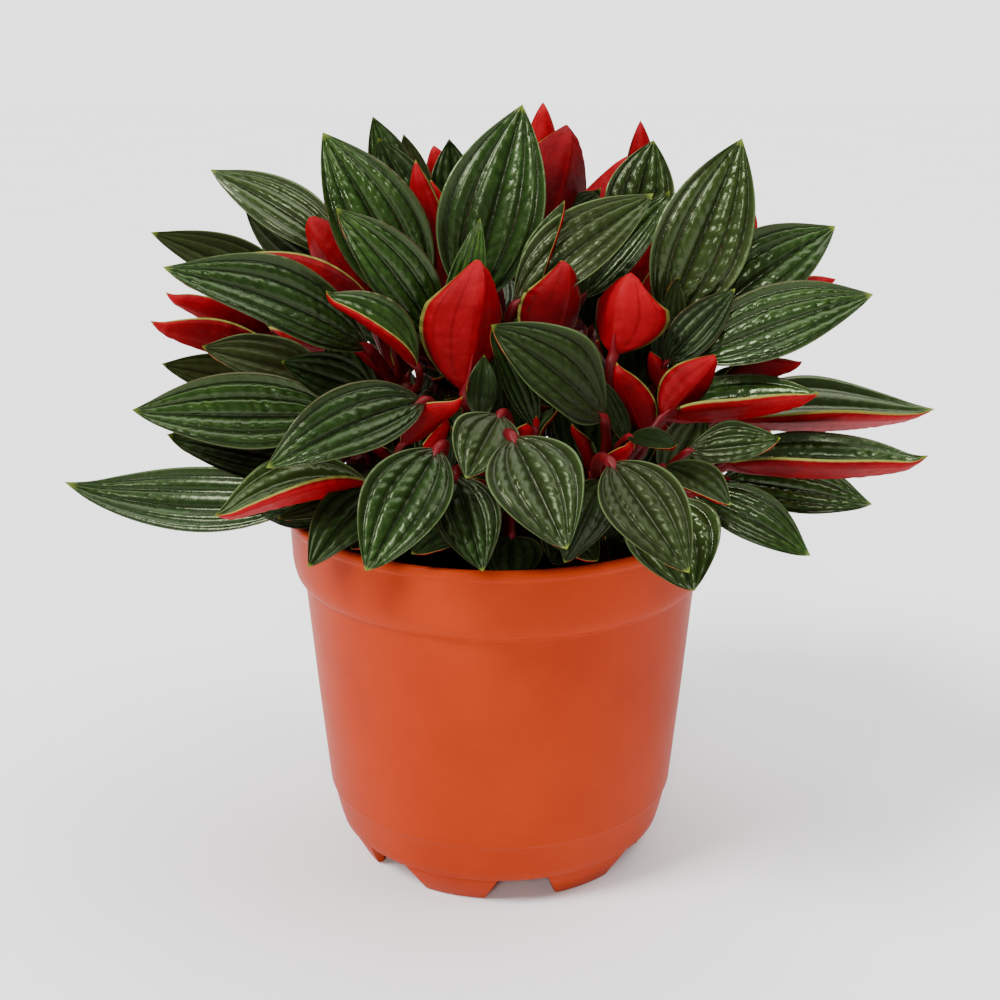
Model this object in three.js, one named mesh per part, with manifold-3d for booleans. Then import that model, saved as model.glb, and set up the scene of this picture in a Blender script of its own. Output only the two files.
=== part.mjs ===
// A bushy peperomia in a round plastic nursery pot.
// Millimetres, +Z up. The origin is on the pot's axis at the height of the feet's flat bottoms, and the
// side that is looked at faces -Y.

import * as THREE from 'three';
import { mergeVertices } from 'three/addons/utils/BufferGeometryUtils.js';
import Module from 'manifold-3d';

const wasm = await Module();
wasm.setup();

// Driving dimensions of the pot
const lipRadius = 60;
const potHeight = 103.7;
const collarBottom = 84;
const collarRadius = 58.3;
const wallTopRadius = 56;
const creaseRadius = 50.3;   // a faint step goes round the wall near its bottom
const creaseHeight = 20.5;
const creaseStep = 0.4;
const wallBottomRadius = 47.4;
const wall = 1.8;
const footHeight = 8.5;
const footRadius = 42.3;
const footThickness = 2.4;
const footCount = 7;
const firstGap = -82;        // degrees, the gap between two feet next to the front
const gapWidth = 21;         // of a gap at the ground
const gapTopWidth = 13;
const drainRadius = 3.2;
const drainCircle = 30;
const roundSides = 32;

// Driving dimensions of the soil
const soilTop = 92;
const soilMound = 2.5;
const moundRadius = 30;
const clearance = 0.35;
const sideClearance = 0.5;

// Driving dimensions of the plant
const stemRadius = 2.4;
const stemHole = stemRadius + 0.8;
const stemDepth = 20;        // how far a stem stands in the soil
const stalkRadius = 1.5;
const crownRadius = 4.6;
const bladeThickness = 0.95;
const ridgeHeight = 0.75;    // of the ribs between the sunken veins
const stalkBend = 0.25;      // of its reach, how far it runs in the line of its blade
const stalkDrop = 0.15;      // and how far it bends down under the blade
const footRoundness = 0.78;
const tipRoundness = 1;
const cupRoundness = 1.2;
const curlStart = 0.55;      // past this share of its length a blade may curl
const narrowBlade = 12;      // a blade narrower than this is only folded
const ribbedBlade = 20;      // a blade this wide or wider has more ribs
const largeBlade = 17;       // the number of rows grows at these two widths
const heroBlade = 27;
const farSide = 1.12;        // the far side's leaves are a little wider

const finish = {
  pot: { color: 0xcf5f38, roughness: 0.5, metalness: 0 },
  soil: { color: 0x1d1512, roughness: 0.95, metalness: 0 },
  leaf: { color: 0x2c5226, roughness: 0.35, metalness: 0 },
};

// A closed geometry as a solid that can be joined and cut
function solidOf(geometry) {
  const bare = geometry.clone();
  bare.deleteAttribute('normal');
  bare.deleteAttribute('uv');
  const merged = mergeVertices(bare, 1e-4);
  const corners = Array.from(merged.index.array);
  const kept = [];
  for (let i = 0; i < corners.length; i += 3) {
    const [a, b, c] = corners.slice(i, i + 3);
    if (a !== b && b !== c && c !== a) kept.push(a, b, c);
  }
  return new wasm.Manifold(new wasm.Mesh({
    numProp: 3,
    vertProperties: new Float32Array(merged.attributes.position.array),
    triVerts: new Uint32Array(kept),
  }));
}

// The outer body of a solid as a geometry, with any bubble that the joining sealed in filled
function geometryOf(solid) {
  const bodies = solid.decompose().filter((body) => body.volume() > 0);
  bodies.sort((a, b) => b.volume() - a.volume());
  const mesh = bodies[0].getMesh();
  const geometry = new THREE.BufferGeometry();
  geometry.setAttribute('position', new THREE.BufferAttribute(new Float32Array(mesh.vertProperties), 3));
  geometry.setIndex(new THREE.BufferAttribute(new Uint32Array(mesh.triVerts), 1));
  geometry.computeVertexNormals();
  return geometry;
}

function turned(outline, sides) {
  const points = outline.map(([radius, height]) => new THREE.Vector2(radius, height));
  return new THREE.LatheGeometry(points, sides).rotateX(Math.PI / 2);
}

// The pot: lip, collar, tapered wall, floor with drain holes, and a ring of feet
function makePot() {
  const lipTop = potHeight;
  const floor = footHeight + wall;
  const outline = [
    [0, footHeight],
    [footRadius + 1, footHeight],
    [footRadius - footThickness, 0],
    [footRadius, 0],
    [wallBottomRadius - 0.9, footHeight],
    [wallBottomRadius, footHeight + 0.4],
    [creaseRadius - creaseStep / 2, creaseHeight - creaseStep / 2],
    [creaseRadius + creaseStep / 2, creaseHeight + creaseStep / 2],
    [wallTopRadius, collarBottom - 0.4],
    [collarRadius, collarBottom + 2],
    [lipRadius - 0.5, lipTop - 3],
    [lipRadius, lipTop - 2.5],
    [lipRadius - 1, lipTop],
    [lipRadius - 2.3, lipTop - 0.8],
    [lipRadius - 2.8, collarBottom + 5],
    [wallTopRadius - wall, collarBottom],
    [creaseRadius - wall, creaseHeight],
    [wallBottomRadius - wall, floor],
    [0, floor],
  ];
  let pot = solidOf(turned(outline, roundSides));
  const gap = new THREE.Shape();
  gap.moveTo(-gapWidth / 2, -1);
  gap.lineTo(gapWidth / 2, -1);
  gap.lineTo(gapTopWidth / 2, footHeight - 0.3);
  gap.lineTo(-gapTopWidth / 2, footHeight - 0.3);
  const reach = 20;
  const start = footRadius - reach / 2;
  for (let i = 0; i < footCount; i += 1) {
    const turn = THREE.MathUtils.degToRad(firstGap + (360 * i) / footCount);
    const cutter = new THREE.ExtrudeGeometry(gap, { depth: reach, bevelEnabled: false });
    cutter.rotateX(Math.PI / 2);
    cutter.rotateZ(turn + Math.PI / 2);
    cutter.translate(start * Math.cos(turn), start * Math.sin(turn), 0);
    pot = pot.subtract(solidOf(cutter));
    const hole = new THREE.CylinderGeometry(drainRadius, drainRadius, 6 * wall, 8).rotateX(Math.PI / 2);
    hole.translate(drainCircle * Math.cos(turn), drainCircle * Math.sin(turn), floor);
    pot = pot.subtract(solidOf(hole));
  }
  return geometryOf(pot);
}

// The soil fills the pot and has a plain hole for each stem
function makeSoil(feet) {
  const bottom = footHeight + wall + clearance;
  const outline = [
    [0, bottom],
    [wallBottomRadius - wall - sideClearance, bottom],
    [wallTopRadius - wall - sideClearance, collarBottom],
    [wallTopRadius - wall, soilTop - 1],
    [moundRadius, soilTop + soilMound],
    [0, soilTop + soilMound],
  ];
  let soil = solidOf(turned(outline, roundSides));
  for (const [x, y] of feet) {
    const hole = new THREE.CylinderGeometry(stemHole, stemHole, 2 * stemDepth, 6).rotateX(Math.PI / 2);
    soil = soil.subtract(solidOf(hole.translate(x, y, soilTop - clearance)));
  }
  return geometryOf(soil);
}

// The width of a blade, as a share of its widest, at a share of its length
function bladeOutline(along) {
  const widest = footRoundness / (footRoundness + tipRoundness);
  return (along / widest) ** footRoundness * ((1 - along) / (1 - widest)) ** tipRoundness;
}

// The directions of a blade: along it, out of its upper face, and across it
function bladeAxes({ base, tip, face }) {
  const axis = new THREE.Vector3(...tip).sub(new THREE.Vector3(...base)).normalize();
  const [azimuth, height] = face.map(THREE.MathUtils.degToRad);
  const up = new THREE.Vector3(
    Math.cos(height) * Math.cos(azimuth),
    Math.cos(height) * Math.sin(azimuth),
    Math.sin(height),
  );
  up.addScaledVector(axis, -up.dot(axis)).normalize();
  return { axis, up, side: new THREE.Vector3().crossVectors(up, axis) };
}

// How many rows a blade has, and how many strips it has across: more for a wide one
function bladeGrid(wide) {
  let rows = 3;
  if (wide >= largeBlade) rows = wide < heroBlade ? 4 : 5;
  let columns = 2;
  if (wide >= narrowBlade) columns = wide < ribbedBlade ? 4 : 6;
  return { rows, columns };
}

// The middle of a blade at a share of its length. The last part may curl towards its upper face.
function bladeSpine({ curl = 0 }, length, along) {
  if (!curl || along <= curlStart) return { reach: along * length, rise: 0, turn: 0 };
  const full = THREE.MathUtils.degToRad(curl);
  const radius = ((1 - curlStart) * length) / full;
  const turn = (full * (along - curlStart)) / (1 - curlStart);
  return { reach: curlStart * length + radius * Math.sin(turn), rise: radius * (1 - Math.cos(turn)), turn };
}

// The rows of points of a blade, from near its foot to its tip, on its upper face and under it. Its sides
// rise with the cup, its middle rises with the arch, and ribs stand between its sunken veins.
function bladeRows(leaf) {
  const { base, tip, wide, cup = 0.3, arch = 0.05 } = leaf;
  const { axis, up, side } = bladeAxes(leaf);
  const length = new THREE.Vector3(...tip).distanceTo(new THREE.Vector3(...base));
  const { rows: count, columns } = bladeGrid(wide);
  const rows = [];
  for (let row = 1; row <= count; row += 1) {
    const along = 0.5 - 0.5 * Math.cos((Math.PI * row) / count);
    const share = row === count ? 0 : bladeOutline(along);
    const half = (share * wide) / 2;
    const spine = bladeSpine(leaf, length, along);
    const out = up.clone().multiplyScalar(Math.cos(spine.turn)).addScaledVector(axis, -Math.sin(spine.turn));
    const bow = spine.rise + arch * length * 4 * along * (1 - along);
    const top = [];
    for (let i = 0; i <= (row === count ? 0 : columns); i += 1) {
      const across = (2 * i) / columns - 1;
      const rib = -Math.cos(3 * Math.PI * across) * ridgeHeight * share;
      top.push(new THREE.Vector3(...base)
        .addScaledVector(axis, spine.reach)
        .addScaledVector(up, bow)
        .addScaledVector(side, across * half)
        .addScaledVector(out, cup * half * Math.abs(across) ** cupRoundness + rib));
    }
    rows.push({ top, under: top.map((point) => point.clone().addScaledVector(out, -bladeThickness)) });
  }
  return rows;
}

// The rows of points of a stalk, which bends from the crown into the line of its blade
function stalkRows(crown, leaf) {
  const { axis, up: face, side } = bladeAxes(leaf);
  const from = new THREE.Vector3(...crown);
  const to = new THREE.Vector3(...leaf.base);
  const reach = from.distanceTo(to);
  const bend = to.clone().addScaledVector(axis, -stalkBend * reach).addScaledVector(face, -stalkDrop * reach);
  const path = new THREE.QuadraticBezierCurve3(from, bend, to);
  const rows = [];
  const across = side.clone();
  const steps = leaf.wide < largeBlade ? 1 : 2;
  for (let step = steps; step >= 0; step -= 1) {
    const along = path.getTangent(step / steps);
    across.addScaledVector(along, -across.dot(along)).normalize();
    const up = new THREE.Vector3().crossVectors(along, across);
    const middle = path.getPoint(step / steps);
    const spot = (sideways, upwards) => middle.clone()
      .addScaledVector(across, sideways * stalkRadius)
      .addScaledVector(up, upwards * stalkRadius);
    rows.unshift({
      top: [spot(-1, 0.4), spot(0, 1), spot(1, 0.4)],
      under: [spot(-1, -0.4), spot(0, -1), spot(1, -0.4)],
    });
  }
  return rows;
}

// The triangles between two rows of points, which may differ in number
function stitch(near, far) {
  const faces = [];
  let i = 0;
  let j = 0;
  while (i < near.length - 1 || j < far.length - 1) {
    const nextNear = (i + 1) / (near.length - 1 || 0.5);
    const nextFar = (j + 1) / (far.length - 1 || 0.5);
    if (j === far.length - 1 || (i < near.length - 1 && nextNear <= nextFar)) {
      faces.push([near[i], far[j], near[i + 1]]);
      i += 1;
    } else {
      faces.push([near[i], far[j], far[j + 1]]);
      j += 1;
    }
  }
  return faces;
}

// A leaf is one closed shell: the stalk widens into the thin blade. Both faces of the blade are split into
// the same triangles.
function makeLeaf(crown, leaf) {
  const rows = [...stalkRows(crown, leaf), ...bladeRows(leaf)];
  const faces = [];
  for (let i = 0; i < rows.length - 1; i += 1) {
    const [near, far] = [rows[i], rows[i + 1]];
    stitch(near.top, far.top).forEach((face) => faces.push(face));
    stitch(near.under, far.under).forEach(([a, b, c]) => faces.push([a, c, b]));
    faces.push([near.top[0], near.under[0], far.under[0]]);
    faces.push([near.top[0], far.under[0], far.top[0]]);
    faces.push([near.top.at(-1), far.top.at(-1), far.under.at(-1)]);
    faces.push([near.top.at(-1), far.under.at(-1), near.under.at(-1)]);
  }
  const end = [...rows[0].top, ...rows[0].under.toReversed()];
  for (let i = 1; i < end.length - 1; i += 1) faces.push([end[0], end[i], end[i + 1]]);
  return solidOf(new THREE.BufferGeometry().setFromPoints(faces.flat()));
}

// A stem through its points, straight in the soil: a cylinder whose rings are moved onto them
function makeStem(points) {
  const rings = points.length - 1;
  const stem = new THREE.CylinderGeometry(stemRadius, stemRadius, rings, 5, rings).rotateX(Math.PI / 2);
  const spots = stem.attributes.position;
  for (let i = 0; i < spots.count; i += 1) {
    const [x, y, z] = points[Math.round(spots.getZ(i) + rings / 2)];
    spots.setXYZ(i, x + spots.getX(i), y + spots.getY(i), z);
  }
  return stem;
}

// A leafy shoot: a stem from the soil to its crown, and every leaf of the crown
function makeShoot({ foot, crown, leaves }) {
  const [x, y] = foot;
  const [crownX, crownY, crownZ] = crown;
  const bend = soilTop + soilMound + 1;
  const middle = [x + 0.3 * (crownX - x), y + 0.3 * (crownY - y), (bend + crownZ) / 2];
  let shoot = solidOf(makeStem([[x, y, soilTop - stemDepth], [x, y, bend], middle, crown]));
  const ball = new THREE.OctahedronGeometry(crownRadius, 0).translate(...crown);
  shoot = shoot.add(solidOf(ball));
  for (const leaf of leaves) shoot = shoot.add(makeLeaf(crown, leaf));
  return geometryOf(shoot);
}

// The same shoot at another place round the pot's axis. Some leaves may be left out, and the upper faces
// may look further round by the roll.
function turnedShoot(shoot, degrees, skipped = [], roll = 0) {
  const turn = THREE.MathUtils.degToRad(degrees);
  const move = ([x, y, ...rest]) => [
    Math.round(x * Math.cos(turn) - y * Math.sin(turn)),
    Math.round(x * Math.sin(turn) + y * Math.cos(turn)),
    ...rest,
  ];
  return {
    foot: move(shoot.foot),
    crown: move(shoot.crown),
    leaves: shoot.leaves.filter((leaf, i) => leaf.wide >= 12 && !skipped.includes(i)).map((leaf) => ({
      ...leaf,
      base: move(leaf.base),
      tip: move(leaf.tip),
      wide: leaf.wide * farSide,
      face: [leaf.face[0] + degrees + roll, leaf.face[1]],
    })),
  };
}

// The shoots that show from the front. A leaf goes from base to tip, with its upper face to [azimuth,
// height]; a face to about +90 turns the red underside to the front.
const shoots = {
  left: {
    foot: [-27, -9],
    crown: [-35, -13, 120],
    leaves: [
      { base: [-52, -14, 109], tip: [-123, -1, 108], wide: 23, face: [-100, 54], cup: 0.36, arch: -0.11 },
      { base: [-46, -27, 121], tip: [-86, -37, 132], wide: 19, face: [-100, 45], arch: 0.02 },
      { base: [-42, -33, 137], tip: [-92, -46, 141], wide: 22, face: [-95, 40], cup: 0.3, arch: -0.02 },
      { base: [-46, -20, 143], tip: [-77, -30, 154], wide: 16, face: [-90, 45], arch: 0.02 },
      { base: [-33, -33, 143], tip: [-55, -42, 153], wide: 13, face: [-90, 30] },
      { base: [-60, -12, 148], tip: [-91, -24, 159], wide: 13, face: [90, 30], cup: 0.2, arch: 0 },
      { base: [-62, -6, 153], tip: [-90, -10, 164], wide: 10, face: [90, 30], cup: 0.2, arch: 0 },
      { base: [-60, -8, 138], tip: [-91, -14, 146], wide: 13, face: [-90, 40], cup: 0.2, arch: 0 },
      { base: [-40, -26, 109], tip: [-66, -22, 107], wide: 12, face: [-90, 50], cup: 0.2, arch: 0 },
      { base: [-46, -24, 117], tip: [-68, -30, 114], wide: 9, face: [-90, 50], cup: 0.2, arch: 0 },
      { base: [-38, -16, 128], tip: [-44, -16, 156], wide: 16, face: [-90, 20], arch: 0 },
    ],
  },
  left_upper: {
    foot: [-20, -12],
    crown: [-27, -14, 138],
    leaves: [
      { base: [-34, -30, 154], tip: [-82, -48, 177], wide: 21, face: [-75, 42], arch: 0.1 },
      { base: [-52, -7, 160], tip: [-92, -12, 181], wide: 15, face: [-90, 40] },
      { base: [-33, -20, 163], tip: [-73, -24, 176], wide: 14, face: [90, 10], arch: 0 },
      { base: [-35, -10, 161], tip: [-54, -8, 186], wide: 17, face: [75, 0], cup: 0.6, arch: 0, curl: 50 },
      { base: [-42, 1, 173], tip: [-79, 8, 195], wide: 17, face: [-70, 35], cup: 0.25, arch: 0.06 },
      { base: [-44, 6, 166], tip: [-71, 14, 184], wide: 16, face: [-90, 30], cup: 0.2, arch: 0 },
      { base: [-21, -38, 151], tip: [-44, -44, 170], wide: 14, face: [-62, 66], cup: 0.8, arch: 0.06 },
    ],
  },
  back_left: {
    foot: [-12, 8],
    crown: [-16, 6, 140],
    leaves: [
      { base: [-42, 14, 168], tip: [-53, 18, 186], wide: 8, face: [-90, 20], cup: 0.2, arch: 0 },
      { base: [-22, -8, 160], tip: [-47, -2, 206], wide: 25, face: [-80, 20] },
      { base: [-17, -21, 155], tip: [-42, -26, 189], wide: 19, face: [-60, 25], arch: 0.08 },
      { base: [-24, 12, 180], tip: [-35, 16, 209], wide: 13, face: [-90, 20], cup: 0.2, arch: 0 },
      { base: [-20, 4, 174], tip: [-33, 8, 204], wide: 16, face: [-90, 10], cup: 0.2, arch: 0 },
      { base: [-21, 18, 180], tip: [-27, 22, 204], wide: 9, face: [-90, 10], cup: 0.2, arch: 0 },
      { base: [-14, 20, 182], tip: [-19, 26, 201], wide: 10, face: [90, 0], cup: 0.2, arch: 0 },
      { base: [-15, 4, 168], tip: [-19, 8, 193], wide: 10, face: [90, 0], cup: 0.2, arch: 0 },
    ],
  },
  middle: {
    foot: [-3, -3],
    crown: [-5, -6, 138],
    leaves: [
      { base: [-15, -6, 160], tip: [-23, 0, 199], wide: 12, face: [70, 0], cup: 0.2, arch: 0 },
      { base: [-12, 12, 178], tip: [-14, 16, 203], wide: 13, face: [-90, 10], cup: 0.2, arch: 0 },
      { base: [-8, -12, 162], tip: [6, 0, 213], wide: 28, face: [-95, 22], arch: 0.04 },
      { base: [-13, -24, 152], tip: [-5, -20, 186], wide: 10, face: [-90, 15], arch: 0.02 },
      { base: [-9, -37, 144], tip: [-2, -32, 180], wide: 23, face: [112, 10], cup: 0.75, arch: 0, curl: 55 },
    ],
  },
  back_right: {
    foot: [10, 6],
    crown: [12, 4, 138],
    leaves: [
      { base: [11, 16, 186], tip: [12, 22, 213], wide: 10, face: [90, 0], cup: 0.2, arch: 0 },
      { base: [12, 4, 174], tip: [22, 12, 210], wide: 25, face: [110, 5], cup: 0.6, arch: 0, curl: 50 },
      { base: [8, -21, 163], tip: [17, -17, 190], wide: 9, face: [-130, 25], cup: 0.9, arch: 0 },
      { base: [12, -31, 150], tip: [19, -34, 178], wide: 18, face: [115, 10], cup: 0.7, arch: 0, curl: 50 },
      { base: [4, -24, 164], tip: [40, -14, 191], wide: 20, face: [-100, 42], arch: 0.06 },
      { base: [22, -8, 163], tip: [46, 0, 190], wide: 14, face: [-100, 40], arch: 0.04 },
      { base: [15, 8, 180], tip: [28, 14, 189], wide: 9, face: [-90, 40], cup: 0.2, arch: 0 },
    ],
  },
  right_upper: {
    foot: [24, 5],
    crown: [32, 2, 138],
    leaves: [
      { base: [36, 8, 175], tip: [42, 12, 203], wide: 19, face: [-90, 25], cup: 0.2 },
      { base: [38, 2, 158], tip: [39, 6, 181], wide: 13, face: [90, 0], cup: 0.2, arch: 0 },
      { base: [40, 14, 181], tip: [39, 20, 208], wide: 9, face: [90, 0], arch: 0 },
      { base: [44, -16, 158], tip: [63, -8, 205], wide: 25, face: [-85, 20], arch: 0.04 },
      { base: [38, -10, 156], tip: [44, -4, 173], wide: 10, face: [150, 10], cup: 0.2, arch: 0 },
      { base: [47, -8, 160], tip: [51, -2, 183], wide: 7, face: [-90, 20], cup: 0.2, arch: 0 },
      { base: [26, 14, 150], tip: [31, 18, 177], wide: 15, face: [-90, 15], arch: 0 },
    ],
  },
  right: {
    foot: [30, -9],
    crown: [40, -12, 128],
    leaves: [
      { base: [57, 2, 163], tip: [71, 10, 184], wide: 13, face: [90, 0], cup: 0.2, arch: 0 },
      { base: [53, -16, 157], tip: [89, -8, 182], wide: 23, face: [-100, 38] },
      { base: [72, 0, 160], tip: [93, 4, 166], wide: 8, face: [90, 20], cup: 0.2, arch: 0 },
      { base: [50, -26, 150], tip: [96, -26, 167], wide: 21, face: [-95, 42], arch: 0.04 },
      { base: [58, -22, 143], tip: [80, -22, 148], wide: 9, face: [90, 30], cup: 0.2, arch: 0.03 },
      { base: [43, -26, 149], tip: [61, -22, 168], wide: 12, face: [-90, 35], cup: 0.2, arch: 0 },
      { base: [29, -33, 153], tip: [32, -30, 176], wide: 21, face: [60, 12], cup: 0.75, arch: 0, curl: 60 },
      { base: [43, -26, 141], tip: [39, -24, 152], wide: 7, face: [60, 10], cup: 0.2, arch: 0 },
      { base: [42, -23, 147], tip: [46, -19, 171], wide: 10, face: [-60, 10], cup: 0.2, arch: 0 },
      { base: [37, -17, 139], tip: [36, -13, 161], wide: 13, face: [-90, 15], arch: 0 },
    ],
  },
  right_low: {
    foot: [32, -22],
    crown: [40, -23, 113],
    leaves: [
      { base: [56, -16, 136], tip: [66, -14, 146], wide: 9, face: [-90, 20], cup: 0.2, arch: 0 },
      { base: [60, -18, 132], tip: [120, -6, 131], wide: 24, face: [-90, 80], cup: 0.75, arch: -0.05 },
      { base: [60, -30, 123], tip: [111, -36, 125], wide: 20, face: [-90, 84], cup: 0.8, arch: -0.06 },
      { base: [60, -20, 116], tip: [102, -16, 107], wide: 19, face: [-90, 50], arch: 0.02 },
      { base: [48, -42, 130], tip: [70, -50, 135], wide: 13, face: [-90, 50], arch: -0.02 },
      { base: [50, -37, 117], tip: [80, -44, 102], wide: 16, face: [-80, 45], arch: 0.08 },
      { base: [44, -28, 118], tip: [53, -30, 139], wide: 13, face: [-90, 20], arch: 0 },
    ],
  },
  front_left: {
    foot: [-16, -27],
    crown: [-20, -33, 117],
    leaves: [
      { base: [-19, -46, 144], tip: [-56, -66, 132], wide: 19, face: [-70, 45], arch: 0.1 },
      { base: [-33, -42, 121], tip: [-70, -60, 117], wide: 20, face: [-85, 84], cup: 0.8, arch: 0.02 },
      { base: [-30, -36, 118], tip: [-57, -46, 113], wide: 10, face: [-90, 50], cup: 0.2, arch: 0 },
      { base: [-30, -43, 121], tip: [-47, -64, 106], wide: 16, face: [-100, 45], arch: 0.08 },
      { base: [-15, -62, 136], tip: [-31, -84, 112], wide: 21, face: [-95, 42], arch: 0.05 },
      { base: [-25, -44, 132], tip: [-9, -50, 145], wide: 9, face: [60, 50] },
      { base: [-21, -26, 122], tip: [-24, -27, 141], wide: 13, face: [-95, 15], arch: 0 },
      { base: [-15, -36, 122], tip: [-18, -38, 143], wide: 12, face: [-85, 15], arch: 0 },
      { base: [-26, -38, 112], tip: [-38, -50, 106], wide: 14, face: [-95, 50] },
    ],
  },
  front: {
    foot: [3, -30],
    crown: [3, -34, 120],
    leaves: [
      { base: [9, -42, 136], tip: [-3, -44, 162], wide: 10, face: [-60, 30], cup: 0.2 },
      { base: [-5, -42, 138], tip: [-4, -38, 154], wide: 8, face: [-90, 10], cup: 0.2, arch: 0 },
      { base: [0, -60, 144], tip: [-8, -74, 132], wide: 16, face: [-90, 45], arch: 0.05 },
      { base: [3, -70, 141], tip: [15, -94, 121], wide: 22, face: [-90, 42], arch: 0.05 },
      { base: [-11, -62, 129], tip: [-4, -80, 111], wide: 16, face: [-90, 42], cup: 0.2 },
      { base: [-4, -42, 114], tip: [-22, -60, 108], wide: 15, face: [-90, 60], cup: 0.2 },
      { base: [10, -44, 114], tip: [24, -66, 108], wide: 15, face: [-90, 60], cup: 0.2 },
      { base: [3, -27, 125], tip: [1, -25, 154], wide: 16, face: [-90, 15], arch: 0 },
      { base: [3, -42, 107], tip: [3, -57, 98], wide: 16, face: [-90, 60] },
    ],
  },
  front_right: {
    foot: [20, -30],
    crown: [26, -34, 117],
    leaves: [
      { base: [26, -44, 139], tip: [-3, -52, 164], wide: 22, face: [-90, 45], arch: 0.07 },
      { base: [43, -34, 137], tip: [81, -40, 144], wide: 19, face: [-90, 84], cup: 0.85, arch: -0.06 },
      { base: [32, -39, 131], tip: [23, -39, 149], wide: 9, face: [-40, 20], cup: 0.2 },
      { base: [38, -35, 132], tip: [29, -36, 151], wide: 11, face: [60, 10], cup: 0.3, arch: 0 },
      { base: [41, -39, 138], tip: [56, -38, 154], wide: 12, face: [80, 20], cup: 0.6, arch: 0, curl: 30 },
      { base: [41, -46, 127], tip: [55, -70, 124], wide: 12, face: [-80, 50] },
      { base: [32, -50, 136], tip: [43, -62, 136], wide: 8, face: [-90, 60], cup: 0.2 },
      { base: [26, -48, 124], tip: [15, -78, 112], wide: 14, face: [-90, 45], cup: 0.2 },
      { base: [26, -74, 136], tip: [42, -98, 117], wide: 19, face: [-90, 42], arch: 0.05 },
      { base: [37, -58, 122], tip: [46, -76, 104], wide: 24, face: [-85, 40], arch: 0.06 },
      { base: [24, -28, 122], tip: [19, -25, 150], wide: 16, face: [-90, 15], arch: 0 },
      { base: [32, -31, 121], tip: [37, -31, 141], wide: 13, face: [-90, 15], arch: 0 },
      { base: [19, -38, 112], tip: [14, -53, 102], wide: 13, face: [-95, 50] },
    ],
  },
};

// Tall leaves behind the middle, which look to the back
shoots.back_tall = {
  foot: [3, 18],
  crown: [2, 20, 138],
  leaves: [
    { base: [-1, 27, 162], tip: [-7, 41, 201], wide: 19, face: [105, 25] },
    { base: [6, 30, 160], tip: [12, 46, 204], wide: 23, face: [85, 25] },
    { base: [16, 26, 160], tip: [38, 38, 198], wide: 22, face: [50, 30] },
    { base: [-1, 37, 149], tip: [-8, 66, 169], wide: 18, face: [90, 50] },
    { base: [8, 38, 140], tip: [14, 66, 152], wide: 16, face: [80, 50] },
    { base: [-5, 25, 133], tip: [-15, 31, 112], wide: 16, face: [-90, 15], arch: 0 },
    { base: [8, 25, 133], tip: [12, 30, 113], wide: 14, face: [-90, 15], arch: 0 },
  ],
};

// Low leaves that hang over the rim at the two sides
shoots.side_right = {
  foot: [39, 11],
  crown: [47, 13, 116],
  leaves: [
    { base: [57, 9, 134], tip: [92, 6, 119], wide: 19, face: [0, 50], arch: 0.06 },
    { base: [55, 24, 128], tip: [84, 37, 109], wide: 19, face: [20, 48], arch: 0.06 },
    { base: [57, 9, 115], tip: [80, 9, 101], wide: 15, face: [0, 50] },
    { base: [41, 17, 146], tip: [46, 24, 178], wide: 18, face: [-10, 20] },
    { base: [52, 24, 114], tip: [67, 34, 101], wide: 14, face: [40, 50] },
  ],
};
shoots.side_left = {
  foot: [-38, 11],
  crown: [-45, 14, 116],
  leaves: [
    { base: [-57, 13, 134], tip: [-91, 14, 120], wide: 20, face: [180, 50], arch: 0.06 },
    { base: [-54, 25, 128], tip: [-84, 38, 109], wide: 19, face: [160, 48], arch: 0.06 },
    { base: [-54, 15, 115], tip: [-77, 17, 101], wide: 16, face: [180, 50] },
    { base: [-41, 19, 146], tip: [-47, 27, 177], wide: 18, face: [190, 20] },
    { base: [-50, 26, 114], tip: [-65, 37, 101], wide: 14, face: [140, 50] },
  ],
};

// The far side repeats some of the shoots round the axis
shoots.back_low_right = turnedShoot(shoots.front_left, 180, [6]);
shoots.back_low = turnedShoot(shoots.front, 180, [7]);
shoots.back_low_left = turnedShoot(shoots.front_right, 180, [0, 10, 11, 12]);
shoots.back_upper_left = turnedShoot(shoots.left_upper, -81, [6], -55);
shoots.back_upper_right = turnedShoot(shoots.right, 66, [6, 9], 55);

function named(name, geometry, look) {
  const mesh = new THREE.Mesh(geometry, new THREE.MeshStandardMaterial(look));
  mesh.name = name;
  return mesh;
}

const plant = new THREE.Group();
plant.add(named('pot', makePot(), finish.pot));
plant.add(named('soil', makeSoil(Object.values(shoots).map((shoot) => shoot.foot)), finish.soil));
for (const [name, shoot] of Object.entries(shoots)) {
  plant.add(named(`shoot_${name}`, makeShoot(shoot), finish.leaf));
}

export default plant;
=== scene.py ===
"""A bushy peperomia in an orange nursery pot: ribbed leaves with red undersides, red stems, dark soil.

Metres, +Z up, the origin on the pot's axis at the height of the feet's flat bottoms. The values at the top
are in millimetres and degrees where no comment says otherwise, and those of the studio in metres.
"""
import math
import random
from types import SimpleNamespace

import bmesh
import bpy
import numpy as np
from mathutils import Matrix, Vector, noise


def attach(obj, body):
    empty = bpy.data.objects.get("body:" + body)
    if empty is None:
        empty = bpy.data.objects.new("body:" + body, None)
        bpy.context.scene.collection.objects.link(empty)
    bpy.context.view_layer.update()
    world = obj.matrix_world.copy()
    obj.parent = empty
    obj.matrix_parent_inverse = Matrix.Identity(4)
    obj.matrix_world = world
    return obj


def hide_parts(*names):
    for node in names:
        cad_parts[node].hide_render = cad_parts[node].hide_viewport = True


MM = 0.001
SEED = 11

# In metres: points this close are one point, and an edge this short is dissolved
TOUCHING = 1e-7
SLIVER = 1e-8

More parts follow.
